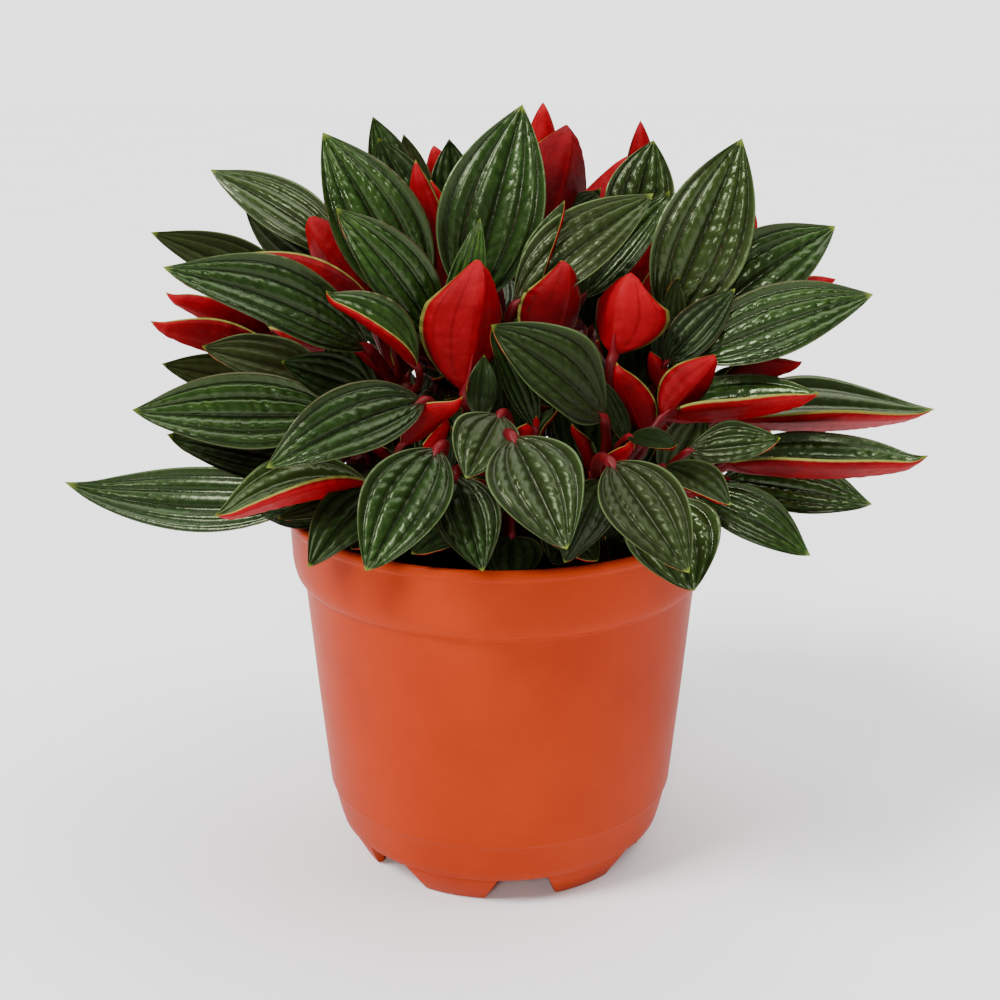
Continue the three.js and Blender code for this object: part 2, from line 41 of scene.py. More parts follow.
# The pot, and the ring of feet under it: where the first gap between two feet is, and half of a gap's angle
# at the bottom and at the top of the feet. A foot is spun over FOOT_SPAN and then fitted between two gaps.
LIP_RADIUS = 60
POT_HEIGHT = 103.7
COLLAR_BOTTOM = 84
WALL_TOP_RADIUS = 56
WALL_BOTTOM_RADIUS = 47.4
WALL = 1.8
POT_STEPS = 192
SHARP_EDGE = 40
FOOT_HEIGHT = 8.5
FOOT_RADIUS = 42.3
FOOT_COUNT = 7
FIRST_GAP = -82
HALF_GAP_BOTTOM = 14
HALF_GAP_TOP = 8.8
FOOT_SPAN = 100
FOOT_STEPS = 20

# The soil: a flat top that falls to its edge, lumps on it (how many in a metre, how high), and crumbs, each
# turned over by up to CRUMB_TILT radians
SOIL_TOP = 92
SOIL_MOUND = 2.5
SOIL_STEPS = 120
SOIL_RING = 2.2
FLAT_RINGS = 14
FLAT_RADIUS = 30
SLOPE_RINGS = 11
SLOPE_RADIUS = 54.75
SLOPE_DROP = 3.4
SOIL_PLAY = 0.4
LUMP_ZONE = 2
LUMPS = ((120, 1.6), (372, 0.8))
LUMP_EDGE = 56
LUMP_FADE = 3
SETTLED = 0.6
CRUMBS = 420
CRUMB_SPREAD = 54
CRUMB_SIZES = (0.5, 1.5)
CRUMB_FALL = 0.13
CRUMB_SINK = 0.4
CRUMB_TILT = 3
CRUMB_STRETCH = ((0.7, 1.6), (0.7, 1.1), (0.6, 1))
CRUMB_CORNERS = 0.2

# The stems: how far the middle has leaned, how round the bends are, and the joints
STEM_RADIUS = 2.4
STEM_BOTTOM = 72
STEM_STRAIGHT = 1
STEM_LEAN = 0.3
STEM_ROUNDNESS = 0.25
STEM_WAIST = 0.94
STEM_TONE = (0.5, 0.5)
JOINTS = 1.9
JOINT_LENGTH = 0.12
JOINT_HEIGHT = 0.14
CROWN_RADIUS = 4.4
CROWN_LUMPS = 0.5
CROWN_LUMP_HEIGHT = 0.108

# The stalks: their bend and drop before the blade, the swollen foot, the share of their rows before the
# blade, and the middle vein that they run on as
STALK_RADIUS = 1.5
LEAST_STALK = 0.62
STALK_BEND = 0.25
STALK_DROP = 0.15
STALK_SWELL = 0.25
SWELL_FADE = 7
STALK_FREE = 0.6
VEIN_REACH = 0.55
VEIN_SHARE = 0.7
VEIN_RADIUS = 0.12
VEIN_DEPTH = 0.12
VEIN_SINK = 12
VEIN_COLOUR_START = 0.5
VEIN_COLOUR_BLEND = 0.15

# The blades: outline, thickness, cup, ribs, curled end (the least curl in radians) and hooked tip
FOOT_ROUNDNESS = 0.78
TIP_ROUNDNESS = 1
BLADE_THICKNESS = 1.0
LEAST_THICKNESS = 0.12
BODY_RISE = 2.4
EDGE_ROUNDNESS = 8
AT_MARGIN = 0.999
MARGIN_HEIGHT = 0.6
CUP_ROUNDNESS = 1.2
RED_CUP_ROUNDNESS = 1.02
WIDE_BLADE = 20
RIDGE_HEIGHT = 0.75
MOST_RIDGE = 1.25
UNDER_RIDGE = 0.45
CURL_START = 0.55
LEAST_CURL = 0.001
HOOK_START = 0.88

# The pillows between the sunken veins of half a blade: from, to, height; and the one out to the margin
PILLOWS = ((0, 0.45, 1.0), (0.45, 0.8, 0.85))
PILLOW_ROUNDNESS = 0.6
LAST_VEIN = 0.8
MARGIN_PILLOW = 0.9
MARGIN_ROUNDNESS = 0.8

# The veins that stand out below a blade: where in the half width, how wide, how high
UNDER_VEINS = ((0, 0.06, 1), (0.45, 0.05, 0.5), (LAST_VEIN, 0.05, 0.35))
UNDER_VEIN_HEIGHT = 0.3
UNDER_VEIN_FADE = 0.8

# The quilting: puckers that run slanting across a blade
QUILT_PERIOD = 3.4
QUILT_HEIGHT = 0.2
QUILT_SLANT = 0.7
QUILT_RISE = 1.4
QUILT_ENDS = 2
MARGIN_QUILT = 0.25
UNDER_QUILT = 0.12
# PUCKER_RELIEF: how much the puckers count in the relief that paints shade in the upper face's valleys
PUCKER_RELIEF = 0.45

# What each leaf gets by chance, from and to: lighter or darker, waves along the margin (height, number),
# a bend to one side, a hooked tip, and quilting
SHADES = (-0.08, 0.08)
WAVE_HEIGHTS = (0.2, 0.8)
WAVE_COUNTS = (0.9, 1.7)
BENDS = (-0.012, 0.012)
HOOKS = (0.4, 2.2)
QUILTS = (0.5, 1.15)
YOUNG_QUILTS = (0.3, 0.6)

# The small leaves round each crown: level, upright and hanging ones in turn
TUFT_LEAVES = 12
TUFT_TILTS = ((-25, 10), (40, 72), (-80, -50))
UPRIGHT = 1
TUFT_SHIFT = (-0.3, 0.3)
TUFT_GAPS = (5, 7)
TUFT_LENGTHS = (14, 20)
TUFT_WIDEST = 9
TUFT_WIDTHS = (0.8, 0.99)
TUFT_FACE = 50
TUFT_CUP = 0.3
TUFT_ARCH = 0.05

# The studio
LENS = 55.55
SENSOR = 36
NEAREST = 0.01
EYE = (0, -0.42, 0.236)
EYE_TILT = 72.51
SOFT_SKY = 0.28
SEEN_SKY = 2.55
FLOOR_REACH = 4
FLOOR_DROP = 0.0002

# Each sun: its place, its strength, and how many degrees of the sky it fills
SUNS = {
    "left": ((-0.8, -0.5, 1.05), 4.5, 20),
    "front": ((-0.12, -0.9, 0.52), 1.1, 9),
    "right": ((0.7, -0.25, 1.2), 1.3, 30),
    "top": ((0.1, 0.3, 1.2), 3.0, 60),
}

# How light a leaf of each tone is: k darkest red, d dark, r red side out or dull green, g green,
# b bright red, f fresh green, y young; k and d are partly painted shade, b partly painted light
TONES = {"k": 0.28, "d": 0.31, "r": 0.42, "g": 0.54, "b": 0.66, "f": 0.67, "y": 0.8}

# Each shoot: where its stem stands, its crown, the tones of its leaves, and the leaves as base, tip, width,
# the direction the upper face looks in (azimuth, height), cup, arch, and for some the curl of the far end
SHOOTS = {
    "left": ((-27, -9), (-35, -13, 120), "gdgddrrdrdd", (
        ((-52, -14, 109), (-123, -1, 108), 23, (-100, 54), 0.36, -0.11),
        ((-46, -27, 121), (-86, -37, 132), 19, (-100, 45), 0.3, 0.02),
        ((-42, -33, 137), (-92, -46, 141), 22, (-95, 40), 0.3, -0.02),
        ((-46, -20, 143), (-77, -30, 154), 16, (-90, 45), 0.3, 0.02),
        ((-33, -33, 143), (-55, -42, 153), 13, (-90, 30), 0.3, 0.05),
        ((-60, -12, 148), (-91, -24, 159), 13, (90, 30), 0.2, 0),
        ((-62, -6, 153), (-90, -10, 164), 10, (90, 30), 0.2, 0),
        ((-60, -8, 138), (-91, -14, 146), 13, (-90, 40), 0.2, 0),
        ((-40, -26, 109), (-66, -22, 107), 12, (-90, 50), 0.2, 0),
        ((-46, -24, 117), (-68, -30, 114), 9, (-90, 50), 0.2, 0),
        ((-38, -16, 128), (-44, -16, 156), 16, (-90, 20), 0.3, 0),
    )),
    "left_upper": ((-20, -12), (-27, -14, 138), "gdrrgdf", (
        ((-34, -30, 154), (-82, -48, 177), 21, (-75, 42), 0.3, 0.1),
        ((-52, -7, 160), (-92, -12, 181), 15, (-90, 40), 0.3, 0.05),
        ((-33, -20, 163), (-73, -24, 176), 14, (90, 10), 0.3, 0),
        ((-35, -10, 161), (-54, -8, 186), 17, (75, 0), 0.6, 0, 50),
        ((-42, 1, 173), (-79, 8, 195), 17, (-70, 35), 0.25, 0.06),
        ((-44, 6, 166), (-71, 14, 184), 16, (-90, 30), 0.2, 0),
        ((-21, -38, 151), (-44, -44, 170), 14, (-62, 66), 0.8, 0.06),
    )),
    "back_left": ((-12, 8), (-16, 6, 140), "dgfgrdrr", (
        ((-42, 14, 168), (-53, 18, 186), 8, (-90, 20), 0.2, 0),
        ((-22, -8, 160), (-47, -2, 206), 25, (-80, 20), 0.3, 0.05),
        ((-17, -21, 155), (-42, -26, 189), 19, (-60, 25), 0.3, 0.08),
        ((-24, 12, 180), (-35, 16, 209), 13, (-90, 20), 0.2, 0),
        ((-20, 4, 174), (-33, 8, 204), 16, (-90, 10), 0.2, 0),
        ((-21, 18, 180), (-27, 22, 204), 9, (-90, 10), 0.2, 0),
        ((-14, 20, 182), (-19, 26, 201), 10, (90, 0), 0.2, 0),
        ((-15, 4, 168), (-19, 8, 193), 10, (90, 0), 0.2, 0),
    )),
    "middle": ((-3, -3), (-5, -6, 138), "rdgyr", (
        ((-15, -6, 160), (-23, 0, 199), 12, (70, 0), 0.2, 0),
        ((-12, 12, 178), (-14, 16, 203), 13, (-90, 10), 0.2, 0),
        ((-8, -12, 162), (6, 0, 213), 28, (-95, 22), 0.3, 0.04),
        ((-13, -24, 152), (-5, -20, 186), 10, (-90, 15), 0.3, 0.02),
        ((-9, -37, 144), (-2, -32, 180), 23, (112, 10), 0.75, 0, 55),
    )),
    "back_right": ((10, 6), (12, 4, 138), "ykgkrgd", (
        ((11, 16, 186), (12, 22, 213), 10, (90, 0), 0.2, 0),
        ((12, 4, 174), (22, 12, 210), 25, (110, 5), 0.6, 0, 50),
        ((8, -21, 163), (17, -17, 190), 9, (-130, 25), 0.9, 0),
        ((12, -31, 150), (19, -34, 178), 18, (115, 10), 0.7, 0, 50),
        ((4, -24, 164), (40, -14, 191), 20, (-100, 42), 0.3, 0.06),
        ((22, -8, 163), (46, 0, 190), 14, (-100, 40), 0.3, 0.04),
        ((15, 8, 180), (28, 14, 189), 9, (-90, 40), 0.2, 0),
    )),
    "right_upper": ((24, 5), (32, 2, 138), "grrgrdd", (
        ((36, 8, 175), (42, 12, 203), 19, (-90, 25), 0.2, 0.05),
        ((38, 2, 158), (39, 6, 181), 13, (90, 0), 0.2, 0),
        ((40, 14, 181), (39, 20, 208), 9, (90, 0), 0.3, 0),
        ((44, -16, 158), (63, -8, 205), 25, (-85, 20), 0.3, 0.04),
        ((38, -10, 156), (44, -4, 173), 10, (150, 10), 0.2, 0),
        ((47, -8, 160), (51, -2, 183), 7, (-90, 20), 0.2, 0),
        ((26, 14, 150), (31, 18, 177), 15, (-90, 15), 0.3, 0),
    )),
    "right": ((30, -9), (40, -12, 128), "rgrgrdbgdd", (
        ((57, 2, 163), (71, 10, 184), 13, (90, 0), 0.2, 0),
        ((53, -16, 157), (89, -8, 182), 23, (-100, 38), 0.3, 0.05),
        ((72, 0, 160), (93, 4, 166), 8, (90, 20), 0.2, 0),
        ((50, -26, 150), (96, -26, 167), 21, (-95, 42), 0.3, 0.04),
        ((58, -22, 143), (80, -22, 148), 9, (90, 30), 0.2, 0.03),
        ((43, -26, 149), (61, -22, 168), 12, (-90, 35), 0.2, 0),
        ((29, -33, 153), (32, -30, 176), 21, (60, 12), 0.75, 0, 60),
        ((43, -26, 141), (39, -24, 152), 7, (60, 10), 0.2, 0),
        ((42, -23, 147), (46, -19, 171), 10, (-60, 10), 0.2, 0),
        ((37, -17, 139), (36, -13, 161), 13, (-90, 15), 0.3, 0),
    )),
    "right_low": ((32, -22), (40, -23, 113), "dggfdgd", (
        ((56, -16, 136), (66, -14, 146), 9, (-90, 20), 0.2, 0),
        ((60, -18, 132), (120, -6, 131), 24, (-90, 80), 0.75, -0.05),
        ((60, -30, 123), (111, -36, 125), 20, (-90, 84), 0.8, -0.06),
        ((60, -20, 116), (102, -16, 107), 19, (-90, 50), 0.3, 0.02),
        ((48, -42, 130), (70, -50, 135), 13, (-90, 50), 0.3, -0.02),
        ((50, -37, 117), (80, -44, 102), 16, (-80, 45), 0.3, 0.08),
        ((44, -28, 118), (53, -30, 139), 13, (-90, 20), 0.3, 0),
    )),
    "front_left": ((-16, -27), (-20, -33, 117), "ggddgrddd", (
        ((-19, -46, 144), (-56, -66, 132), 19, (-70, 45), 0.3, 0.1),
        ((-33, -42, 121), (-70, -60, 117), 20, (-85, 84), 0.8, 0.02),
        ((-30, -36, 118), (-57, -46, 113), 10, (-90, 50), 0.2, 0),
        ((-30, -43, 121), (-47, -64, 106), 16, (-100, 45), 0.3, 0.08),
        ((-15, -62, 136), (-31, -84, 112), 21, (-95, 42), 0.3, 0.05),
        ((-25, -44, 132), (-9, -50, 145), 9, (60, 50), 0.3, 0.05),
        ((-21, -26, 122), (-24, -27, 141), 13, (-95, 15), 0.3, 0),
        ((-15, -36, 122), (-18, -38, 143), 12, (-85, 15), 0.3, 0),
        ((-26, -38, 112), (-38, -50, 106), 14, (-95, 50), 0.3, 0.05),
    )),
    "front": ((3, -30), (3, -34, 120), "ddrrddddd", (
        ((9, -42, 136), (-3, -44, 162), 10, (-60, 30), 0.2, 0.05),
        ((-5, -42, 138), (-4, -38, 154), 8, (-90, 10), 0.2, 0),
        ((0, -60, 144), (-8, -74, 132), 16, (-90, 45), 0.3, 0.05),
        ((3, -70, 141), (15, -94, 121), 22, (-90, 42), 0.3, 0.05),
        ((-11, -62, 129), (-4, -80, 111), 16, (-90, 42), 0.2, 0.05),
        ((-4, -42, 114), (-22, -60, 108), 15, (-90, 60), 0.2, 0.05),
        ((10, -44, 114), (24, -66, 108), 15, (-90, 60), 0.2, 0.05),
        ((3, -27, 125), (1, -25, 154), 16, (-90, 15), 0.3, 0),
        ((3, -42, 107), (3, -57, 98), 16, (-90, 60), 0.3, 0.05),
    )),
    "front_right": ((20, -30), (26, -34, 117), "rbdrrddddgddd", (
        ((26, -44, 139), (-3, -52, 164), 22, (-90, 45), 0.3, 0.07),
        ((43, -34, 137), (81, -40, 144), 19, (-90, 84), 0.85, -0.06),
        ((32, -39, 131), (23, -39, 149), 9, (-40, 20), 0.2, 0.05),
        ((38, -35, 132), (29, -36, 151), 11, (60, 10), 0.3, 0),
        ((41, -39, 138), (56, -38, 154), 12, (80, 20), 0.6, 0, 30),
        ((41, -46, 127), (55, -70, 124), 12, (-80, 50), 0.3, 0.05),
        ((32, -50, 136), (43, -62, 136), 8, (-90, 60), 0.2, 0.05),
        ((26, -48, 124), (15, -78, 112), 14, (-90, 45), 0.2, 0.05),
        ((26, -74, 136), (42, -98, 117), 19, (-90, 42), 0.3, 0.05),
        ((37, -58, 122), (46, -76, 104), 24, (-85, 40), 0.3, 0.06),
        ((24, -28, 122), (19, -25, 150), 16, (-90, 15), 0.3, 0),
        ((32, -31, 121), (37, -31, 141), 13, (-90, 15), 0.3, 0),
        ((19, -38, 112), (14, -53, 102), 13, (-95, 50), 0.3, 0.05),
    )),
    "back_tall": ((3, 18), (2, 20, 138), "gdggddd", (
        ((-1, 27, 162), (-7, 41, 201), 19, (105, 25), 0.3, 0.05),
        ((6, 30, 160), (12, 46, 204), 23, (85, 25), 0.3, 0.05),
        ((16, 26, 160), (38, 38, 198), 22, (50, 30), 0.3, 0.05),
        ((-1, 37, 149), (-8, 66, 169), 18, (90, 50), 0.3, 0.05),
        ((8, 38, 140), (14, 66, 152), 16, (80, 50), 0.3, 0.05),
        ((-5, 25, 133), (-15, 31, 112), 16, (-90, 15), 0.3, 0),
        ((8, 25, 133), (12, 30, 113), 14, (-90, 15), 0.3, 0),
    )),
    "side_right": ((39, 11), (47, 13, 116), "gdgdg", (
        ((57, 9, 134), (92, 6, 119), 19, (0, 50), 0.3, 0.06),
        ((55, 24, 128), (84, 37, 109), 19, (20, 48), 0.3, 0.06),
        ((57, 9, 115), (80, 9, 101), 15, (0, 50), 0.3, 0.05),
        ((41, 17, 146), (46, 24, 178), 18, (-10, 20), 0.3, 0.05),
        ((52, 24, 114), (67, 34, 101), 14, (40, 50), 0.3, 0.05),
    )),
    "side_left": ((-38, 11), (-45, 14, 116), "gdgdg", (
        ((-57, 13, 134), (-91, 14, 120), 20, (180, 50), 0.3, 0.06),
        ((-54, 25, 128), (-84, 38, 109), 19, (160, 48), 0.3, 0.06),
        ((-54, 15, 115), (-77, 17, 101), 16, (180, 50), 0.3, 0.05),
        ((-41, 19, 146), (-47, 27, 177), 18, (190, 20), 0.3, 0.05),
        ((-50, 26, 114), (-65, 37, 101), 14, (140, 50), 0.3, 0.05),
    )),
}

# The far side repeats some of the shoots: which one, how far it is turned, the leaves left out, and how
# much further round the upper faces look. Its leaves are wider, and the narrow ones are left out.
FAR_SHOOTS = {
    "back_low_right": ("front_left", 180, (6,), 0),
    "back_low": ("front", 180, (7,), 0),
    "back_low_left": ("front_right", 180, (0, 10, 11, 12), 0),
    "back_upper_left": ("left_upper", -81, (6,), -55),
    "back_upper_right": ("right", 66, (6, 9), 55),
}
FAR_SIDE = 1.12
FAR_SIDE_NARROWEST = 12

# Small leaves that show only close up, deep among the large ones of a shoot
SMALL_LEAVES = {
    "shoot_back_left": (((-22, 7, 143), (-46, 10, 157), 12, (-90, 45), 0.3, 0.05),),
}

# The order of a shoot's materials
UPPER_FACE, UNDER_FACE, STALK_SKIN = range(3)

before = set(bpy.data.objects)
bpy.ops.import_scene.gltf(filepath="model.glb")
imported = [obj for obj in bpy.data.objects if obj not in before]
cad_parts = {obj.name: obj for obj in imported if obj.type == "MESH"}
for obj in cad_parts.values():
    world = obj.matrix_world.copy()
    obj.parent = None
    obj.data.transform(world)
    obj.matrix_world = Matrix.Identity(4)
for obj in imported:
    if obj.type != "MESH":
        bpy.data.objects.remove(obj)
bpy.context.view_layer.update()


# Meshes

def finished_piece(name, mesh, materials, nodes):
    """Puts a mesh in the scene as a piece that stands for CAD nodes."""
    piece = bpy.data.objects.new(name, mesh)
    bpy.context.scene.collection.objects.link(piece)
    for material in materials:
        mesh.materials.append(material)
    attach(piece, "root")
    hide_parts(*nodes)


def closed_and_outward(bm):
    """Joins doubled points and turns every face outwards."""
    bmesh.ops.remove_doubles(bm, verts=bm.verts, dist=TOUCHING)
    bmesh.ops.dissolve_degenerate(bm, edges=bm.edges, dist=SLIVER)
    bmesh.ops.recalc_face_normals(bm, faces=bm.faces)
    for face in bm.faces:
        face.smooth = True


def turned_body(bm, outline, steps, angle=math.tau):
    """Spins an outline of (radius, height) about the pot's axis."""
    points = [bm.verts.new((radius * MM, 0, height * MM)) for radius, height in outline]
    edges = [bm.edges.new(pair) for pair in zip(points, points[1:])]
    bmesh.ops.spin(
        bm, geom=points + edges, cent=(0, 0, 0), axis=(0, 0, 1), angle=angle, steps=steps,
        use_merge=angle == math.tau,
    )


def sheet_pattern(around, rows):
    """A flat grid that is wrapped into a blade or a stalk: its mesh, and each point's column and row."""
    bm = bmesh.new()
    bmesh.ops.create_grid(bm, x_segments=around, y_segments=rows, size=1)
    mesh = bpy.data.meshes.new("pattern")
    bm.to_mesh(mesh)
    bm.free()
    spots = np.zeros(len(mesh.vertices) * 3)
    mesh.vertices.foreach_get("co", spots)
    spots = spots.reshape(-1, 3)
    column = np.rint((spots[:, 0] + 1) / 2 * around).astype(int)
    row = np.rint((spots[:, 1] + 1) / 2 * rows).astype(int)
    return mesh, column, row


def blade_pattern(top, under, rows):
    """A pattern for a blade: the columns go over the upper face and back under it."""
    mesh, column, row = sheet_pattern(top + under, rows)
    over = column <= top
    across = np.where(over, 1 - 2 * column / top, -1 + 2 * (column - top) / under)
    along = 0.5 - 0.5 * np.cos(np.pi * row / rows)
    faces = [UPPER_FACE if all(over[v] for v in face.vertices) else UNDER_FACE for face in mesh.polygons]
    mesh.polygons.foreach_set("material_index", faces)
    return SimpleNamespace(mesh=mesh, across=across, along=along, over=over)


def stalk_pattern(sides, rows):
    """A pattern for a stalk or stem: the columns go round it."""
    mesh, column, row = sheet_pattern(sides, rows)
    mesh.polygons.foreach_set("material_index", [STALK_SKIN] * len(mesh.polygons))
    return SimpleNamespace(mesh=mesh, around=math.tau * column / sides, along=row / rows, rows=rows)


# Each pattern for blades, with the narrowest blade that it is for
BLADES = (
    (18.5, blade_pattern(40, 10, 84)),
    (12, blade_pattern(30, 8, 54)),
    (9, blade_pattern(22, 6, 32)),
    (0, blade_pattern(12, 4, 14)),
)
STALK = stalk_pattern(10, 22)
THIN_STALK = stalk_pattern(7, 10)
STEM = stalk_pattern(18, 30)


# The form of a leaf

def blade_outline(along):
    """The half width of a blade along it, 1 where it is widest."""
    widest = FOOT_ROUNDNESS / (FOOT_ROUNDNESS + TIP_ROUNDNESS)
    return (along / widest) ** FOOT_ROUNDNESS * (np.clip(1 - along, 0, 1) / (1 - widest)) ** TIP_ROUNDNESS


def blade_axes(leaf):
    """The directions along a blade, out of its upper face, and across it."""
    axis = (Vector(leaf.tip) - Vector(leaf.base)).normalized()
    azimuth, height = map(math.radians, leaf.face)
    level = math.cos(height)
    up = Vector((level * math.cos(azimuth), level * math.sin(azimuth), math.sin(height)))
    up = (up - axis * up.dot(axis)).normalized()
    return axis, up, up.cross(axis)


def ridge_of(leaf):
    """How high the ribs of a blade stand."""
    return min(MOST_RIDGE, leaf.wide / WIDE_BLADE) * RIDGE_HEIGHT


def pillow_height(out):
    """The height of the pillows between the veins, 0 in a vein, at a share of the half width."""
    height = np.zeros_like(out)
    for near, far, top in PILLOWS:
        share = np.clip((out - near) / (far - near), 0, 1)
        pillow = top * (4 * share * (1 - share)) ** PILLOW_ROUNDNESS
        height += np.where((out >= near) & (out < far), pillow, 0)
    edge = np.clip((out - LAST_VEIN) / (1 - LAST_VEIN), 0, 1)
    return height + MARGIN_PILLOW * edge ** MARGIN_ROUNDNESS


def wrinkles(spot, leaf, region):
    """Puckers along a strip of a blade, about one for each QUILT_PERIOD, between -1 and 1.
    The numbers only make them uneven, and different in each strip and leaf."""
    drift = 0.9 * np.sin(0.23 * spot + 6 * leaf.chance + region) + 0.5 * np.sin(0.61 * spot + 2.4 * region)
    phase = math.tau * spot / QUILT_PERIOD + 1.5 * drift + region * 2.1 + 9 * leaf.chance
    strength = 0.65 + 0.35 * np.sin(0.41 * spot + 1.7 * region + 4 * leaf.chance)
    return strength * (1 - 2 * np.abs(np.cos(phase / 2)) ** 3)


def spine_of(leaf, length, along):
    """The middle of a blade: how far along it is, how far out of the upper face, and its turn there."""
    radius = (1 - CURL_START) * length / leaf.curl
    turn = np.clip(along - CURL_START, 0, 1) * length / radius
    reach = np.minimum(along, CURL_START) * length + radius * np.sin(turn)
    rise = leaf.arch * length * 4 * along * (1 - along) + radius * (1 - np.cos(turn))
    return reach, rise, turn


def blade_points(leaf, pattern):
    """The points of a blade: cupped and arched, with pillows between its sunken veins, quilted across.
    The second result is the relief of the upper face, 0 in a vein and 1 on a pucker, for painted shade."""
    across, along, over = pattern.across, pattern.along, pattern.over
    axis, up, side = blade_axes(leaf)
    length = (Vector(leaf.tip) - Vector(leaf.base)).length
    share = blade_outline(along)
    half = share * leaf.wide / 2
    out = np.abs(across)
    reach, bow, turn = spine_of(leaf, length, along)
    cup = leaf.cup * half * out ** leaf.roundness
    wave = leaf.wave * out ** 2 * share * np.sin(math.tau * (leaf.waves * along + leaf.chance))
    hook = leaf.hook * np.clip((along - HOOK_START) / (1 - HOOK_START), 0, 1) ** 2

    pillow = pillow_height(out)
    ridge = ridge_of(leaf)
    ribs = ridge * share * (2 * pillow - 1)
    slant = along * length - QUILT_SLANT * out * leaf.wide / 2
    region = (out > PILLOWS[0][1]).astype(int) + (out > LAST_VEIN) + 3 * (across > 0)
    uneven = wrinkles(slant, leaf, region)
    quilted = np.where(out > LAST_VEIN, MARGIN_QUILT, np.minimum(1, pillow * QUILT_RISE))
    puckers = uneven * quilted * np.minimum(1, share * QUILT_ENDS)
    top = ribs + leaf.quilt * QUILT_HEIGHT * puckers

    body = np.minimum(1, share * BODY_RISE)
    rounding = np.clip(1 - out ** EDGE_ROUNDNESS, 0, 1)
    veins = sum(height * np.exp(-((out - place) / width) ** 2) for place, width, height in UNDER_VEINS)
    below = UNDER_RIDGE * ribs - body * (
        BLADE_THICKNESS * np.sqrt(rounding)
        + UNDER_VEIN_HEIGHT * veins * (1 - UNDER_VEIN_FADE * along)
        + UNDER_QUILT * uneven
    )
    skin = np.where(over, np.maximum(top, below + LEAST_THICKNESS * body * rounding), below)
    skin = np.where(out > AT_MARGIN, ridge * share * MARGIN_HEIGHT, skin)
    raised_by = cup + wave + hook + skin
    bend = leaf.bend * length * 4 * along * (1 - along)
    points = (
        np.array(leaf.base)
        + np.outer(reach - raised_by * np.sin(turn), axis)
        + np.outer(across * half + bend, side)
        + np.outer(bow + raised_by * np.cos(turn), up)
    )
    return points, pillow * (1 - PUCKER_RELIEF + PUCKER_RELIEF * puckers)


def tube_points(pattern, path, radii, across):
    """The points of a round tube along a path, closed at both ends by radii of 0."""
    path = [Vector(p) for p in path]
    rows = len(path) - 1
    rings = np.zeros((rows + 1, 3, 3))
    across = Vector(across)
    for i, middle in enumerate(path):
        along = (path[min(i + 1, rows)] - path[max(i - 1, 0)]).normalized()
        across = (across - along * across.dot(along)).normalized()
        rings[i] = middle, across, along.cross(across)
    row = np.rint(pattern.along * rows).astype(int)
    radius = np.array(radii)[row][:, None]
    turn = pattern.around[:, None]
    return rings[row, 0] + radius * (np.cos(turn) * rings[row, 1] + np.sin(turn) * rings[row, 2])


def stalk_points(crown, leaf, pattern):
    """A stalk bends from the crown into the line of its blade and runs on under it as the middle vein."""
    axis, up, side = blade_axes(leaf)
    start, base = Vector(crown), Vector(leaf.base)
    length = (Vector(leaf.tip) - base).length
    bend = base - (axis * STALK_BEND + up * STALK_DROP) * (base - start).length
    path, radii = [], []
    free = round(STALK_FREE * pattern.rows)
    for i in range(free + 1):
        t = i / free
        path.append(start * (1 - t) ** 2 + bend * 2 * t * (1 - t) + base * t * t)
        radii.append(leaf.stalk * (1 + STALK_SWELL * math.exp(-SWELL_FADE * t)))
    under = pattern.rows - free
    for i in range(1, under + 1):
        t = VEIN_REACH * i / under
        radius = leaf.stalk * (1 - i / under) ** 3 * VEIN_SHARE + VEIN_RADIUS
        vein = ridge_of(leaf) * float(blade_outline(t))
        sunk = leaf.arch * length * 4 * t * (1 - t) - min(1, VEIN_SINK * t) * (vein + radius + VEIN_DEPTH)
        path.append(base + axis * (t * length) + up * sunk + side * (leaf.bend * length * 4 * t * (1 - t)))
        radii.append(radius)
    radii[0] = radii[-1] = 0
    return tube_points(pattern, path, radii, side)


def stem_points(foot, crown):
    """A stem stands straight in the soil and leans to its crown, thicker at its joints."""
    x, y = foot
    bend = SOIL_TOP + SOIL_MOUND + STEM_STRAIGHT
    middle = (x + STEM_LEAN * (crown[0] - x), y + STEM_LEAN * (crown[1] - y), (bend + crown[2]) / 2)
    corners = [Vector(corner) for corner in ((x, y, STEM_BOTTOM), (x, y, bend), middle, crown)]
    last = len(corners) - 1
    path, radii = [], []
    for i in range(STEM.rows + 1):
        t = i / STEM.rows * last
        j = min(last - 1, int(t))
        near, far = corners[j], corners[j + 1]
        before = corners[max(j - 1, 0)]
        after = corners[min(j + 2, last)]
        share = t - j
        rounding = (near - before) * (1 - share) - (after - far) * share
        path.append(near.lerp(far, share) + share * (1 - share) * rounding * STEM_ROUNDNESS)
        joint = math.exp(-(((t * JOINTS) % 1 - 0.5) / JOINT_LENGTH) ** 2)
        radii.append(STEM_RADIUS * (STEM_WAIST + JOINT_HEIGHT * joint))
    radii[0] = radii[-1] = 0
    return tube_points(STEM, path, radii, (1, 0, 0))


# The shoots

def leaf_of(row, tone, dice):
    """A leaf from its row and tone, with what it gets by chance."""
    base, tip, wide, face, cup, arch, *curl = row
    return SimpleNamespace(
        base=base, tip=tip, wide=wide, face=face, cup=cup, arch=arch,
        chance=dice.random(),
        shade=TONES[tone] + dice.uniform(*SHADES),
        wave=dice.uniform(*WAVE_HEIGHTS),
        waves=dice.uniform(*WAVE_COUNTS),
        bend=dice.uniform(*BENDS),
        hook=dice.uniform(*HOOKS),
        curl=math.radians(curl[0]) if curl else LEAST_CURL,
        roundness=RED_CUP_ROUNDNESS if tone == "r" else CUP_ROUNDNESS,
        quilt=dice.uniform(*(YOUNG_QUILTS if tone == "y" else QUILTS)),
        stalk=STALK_RADIUS * min(1, max(LEAST_STALK, wide / WIDE_BLADE)),
    )


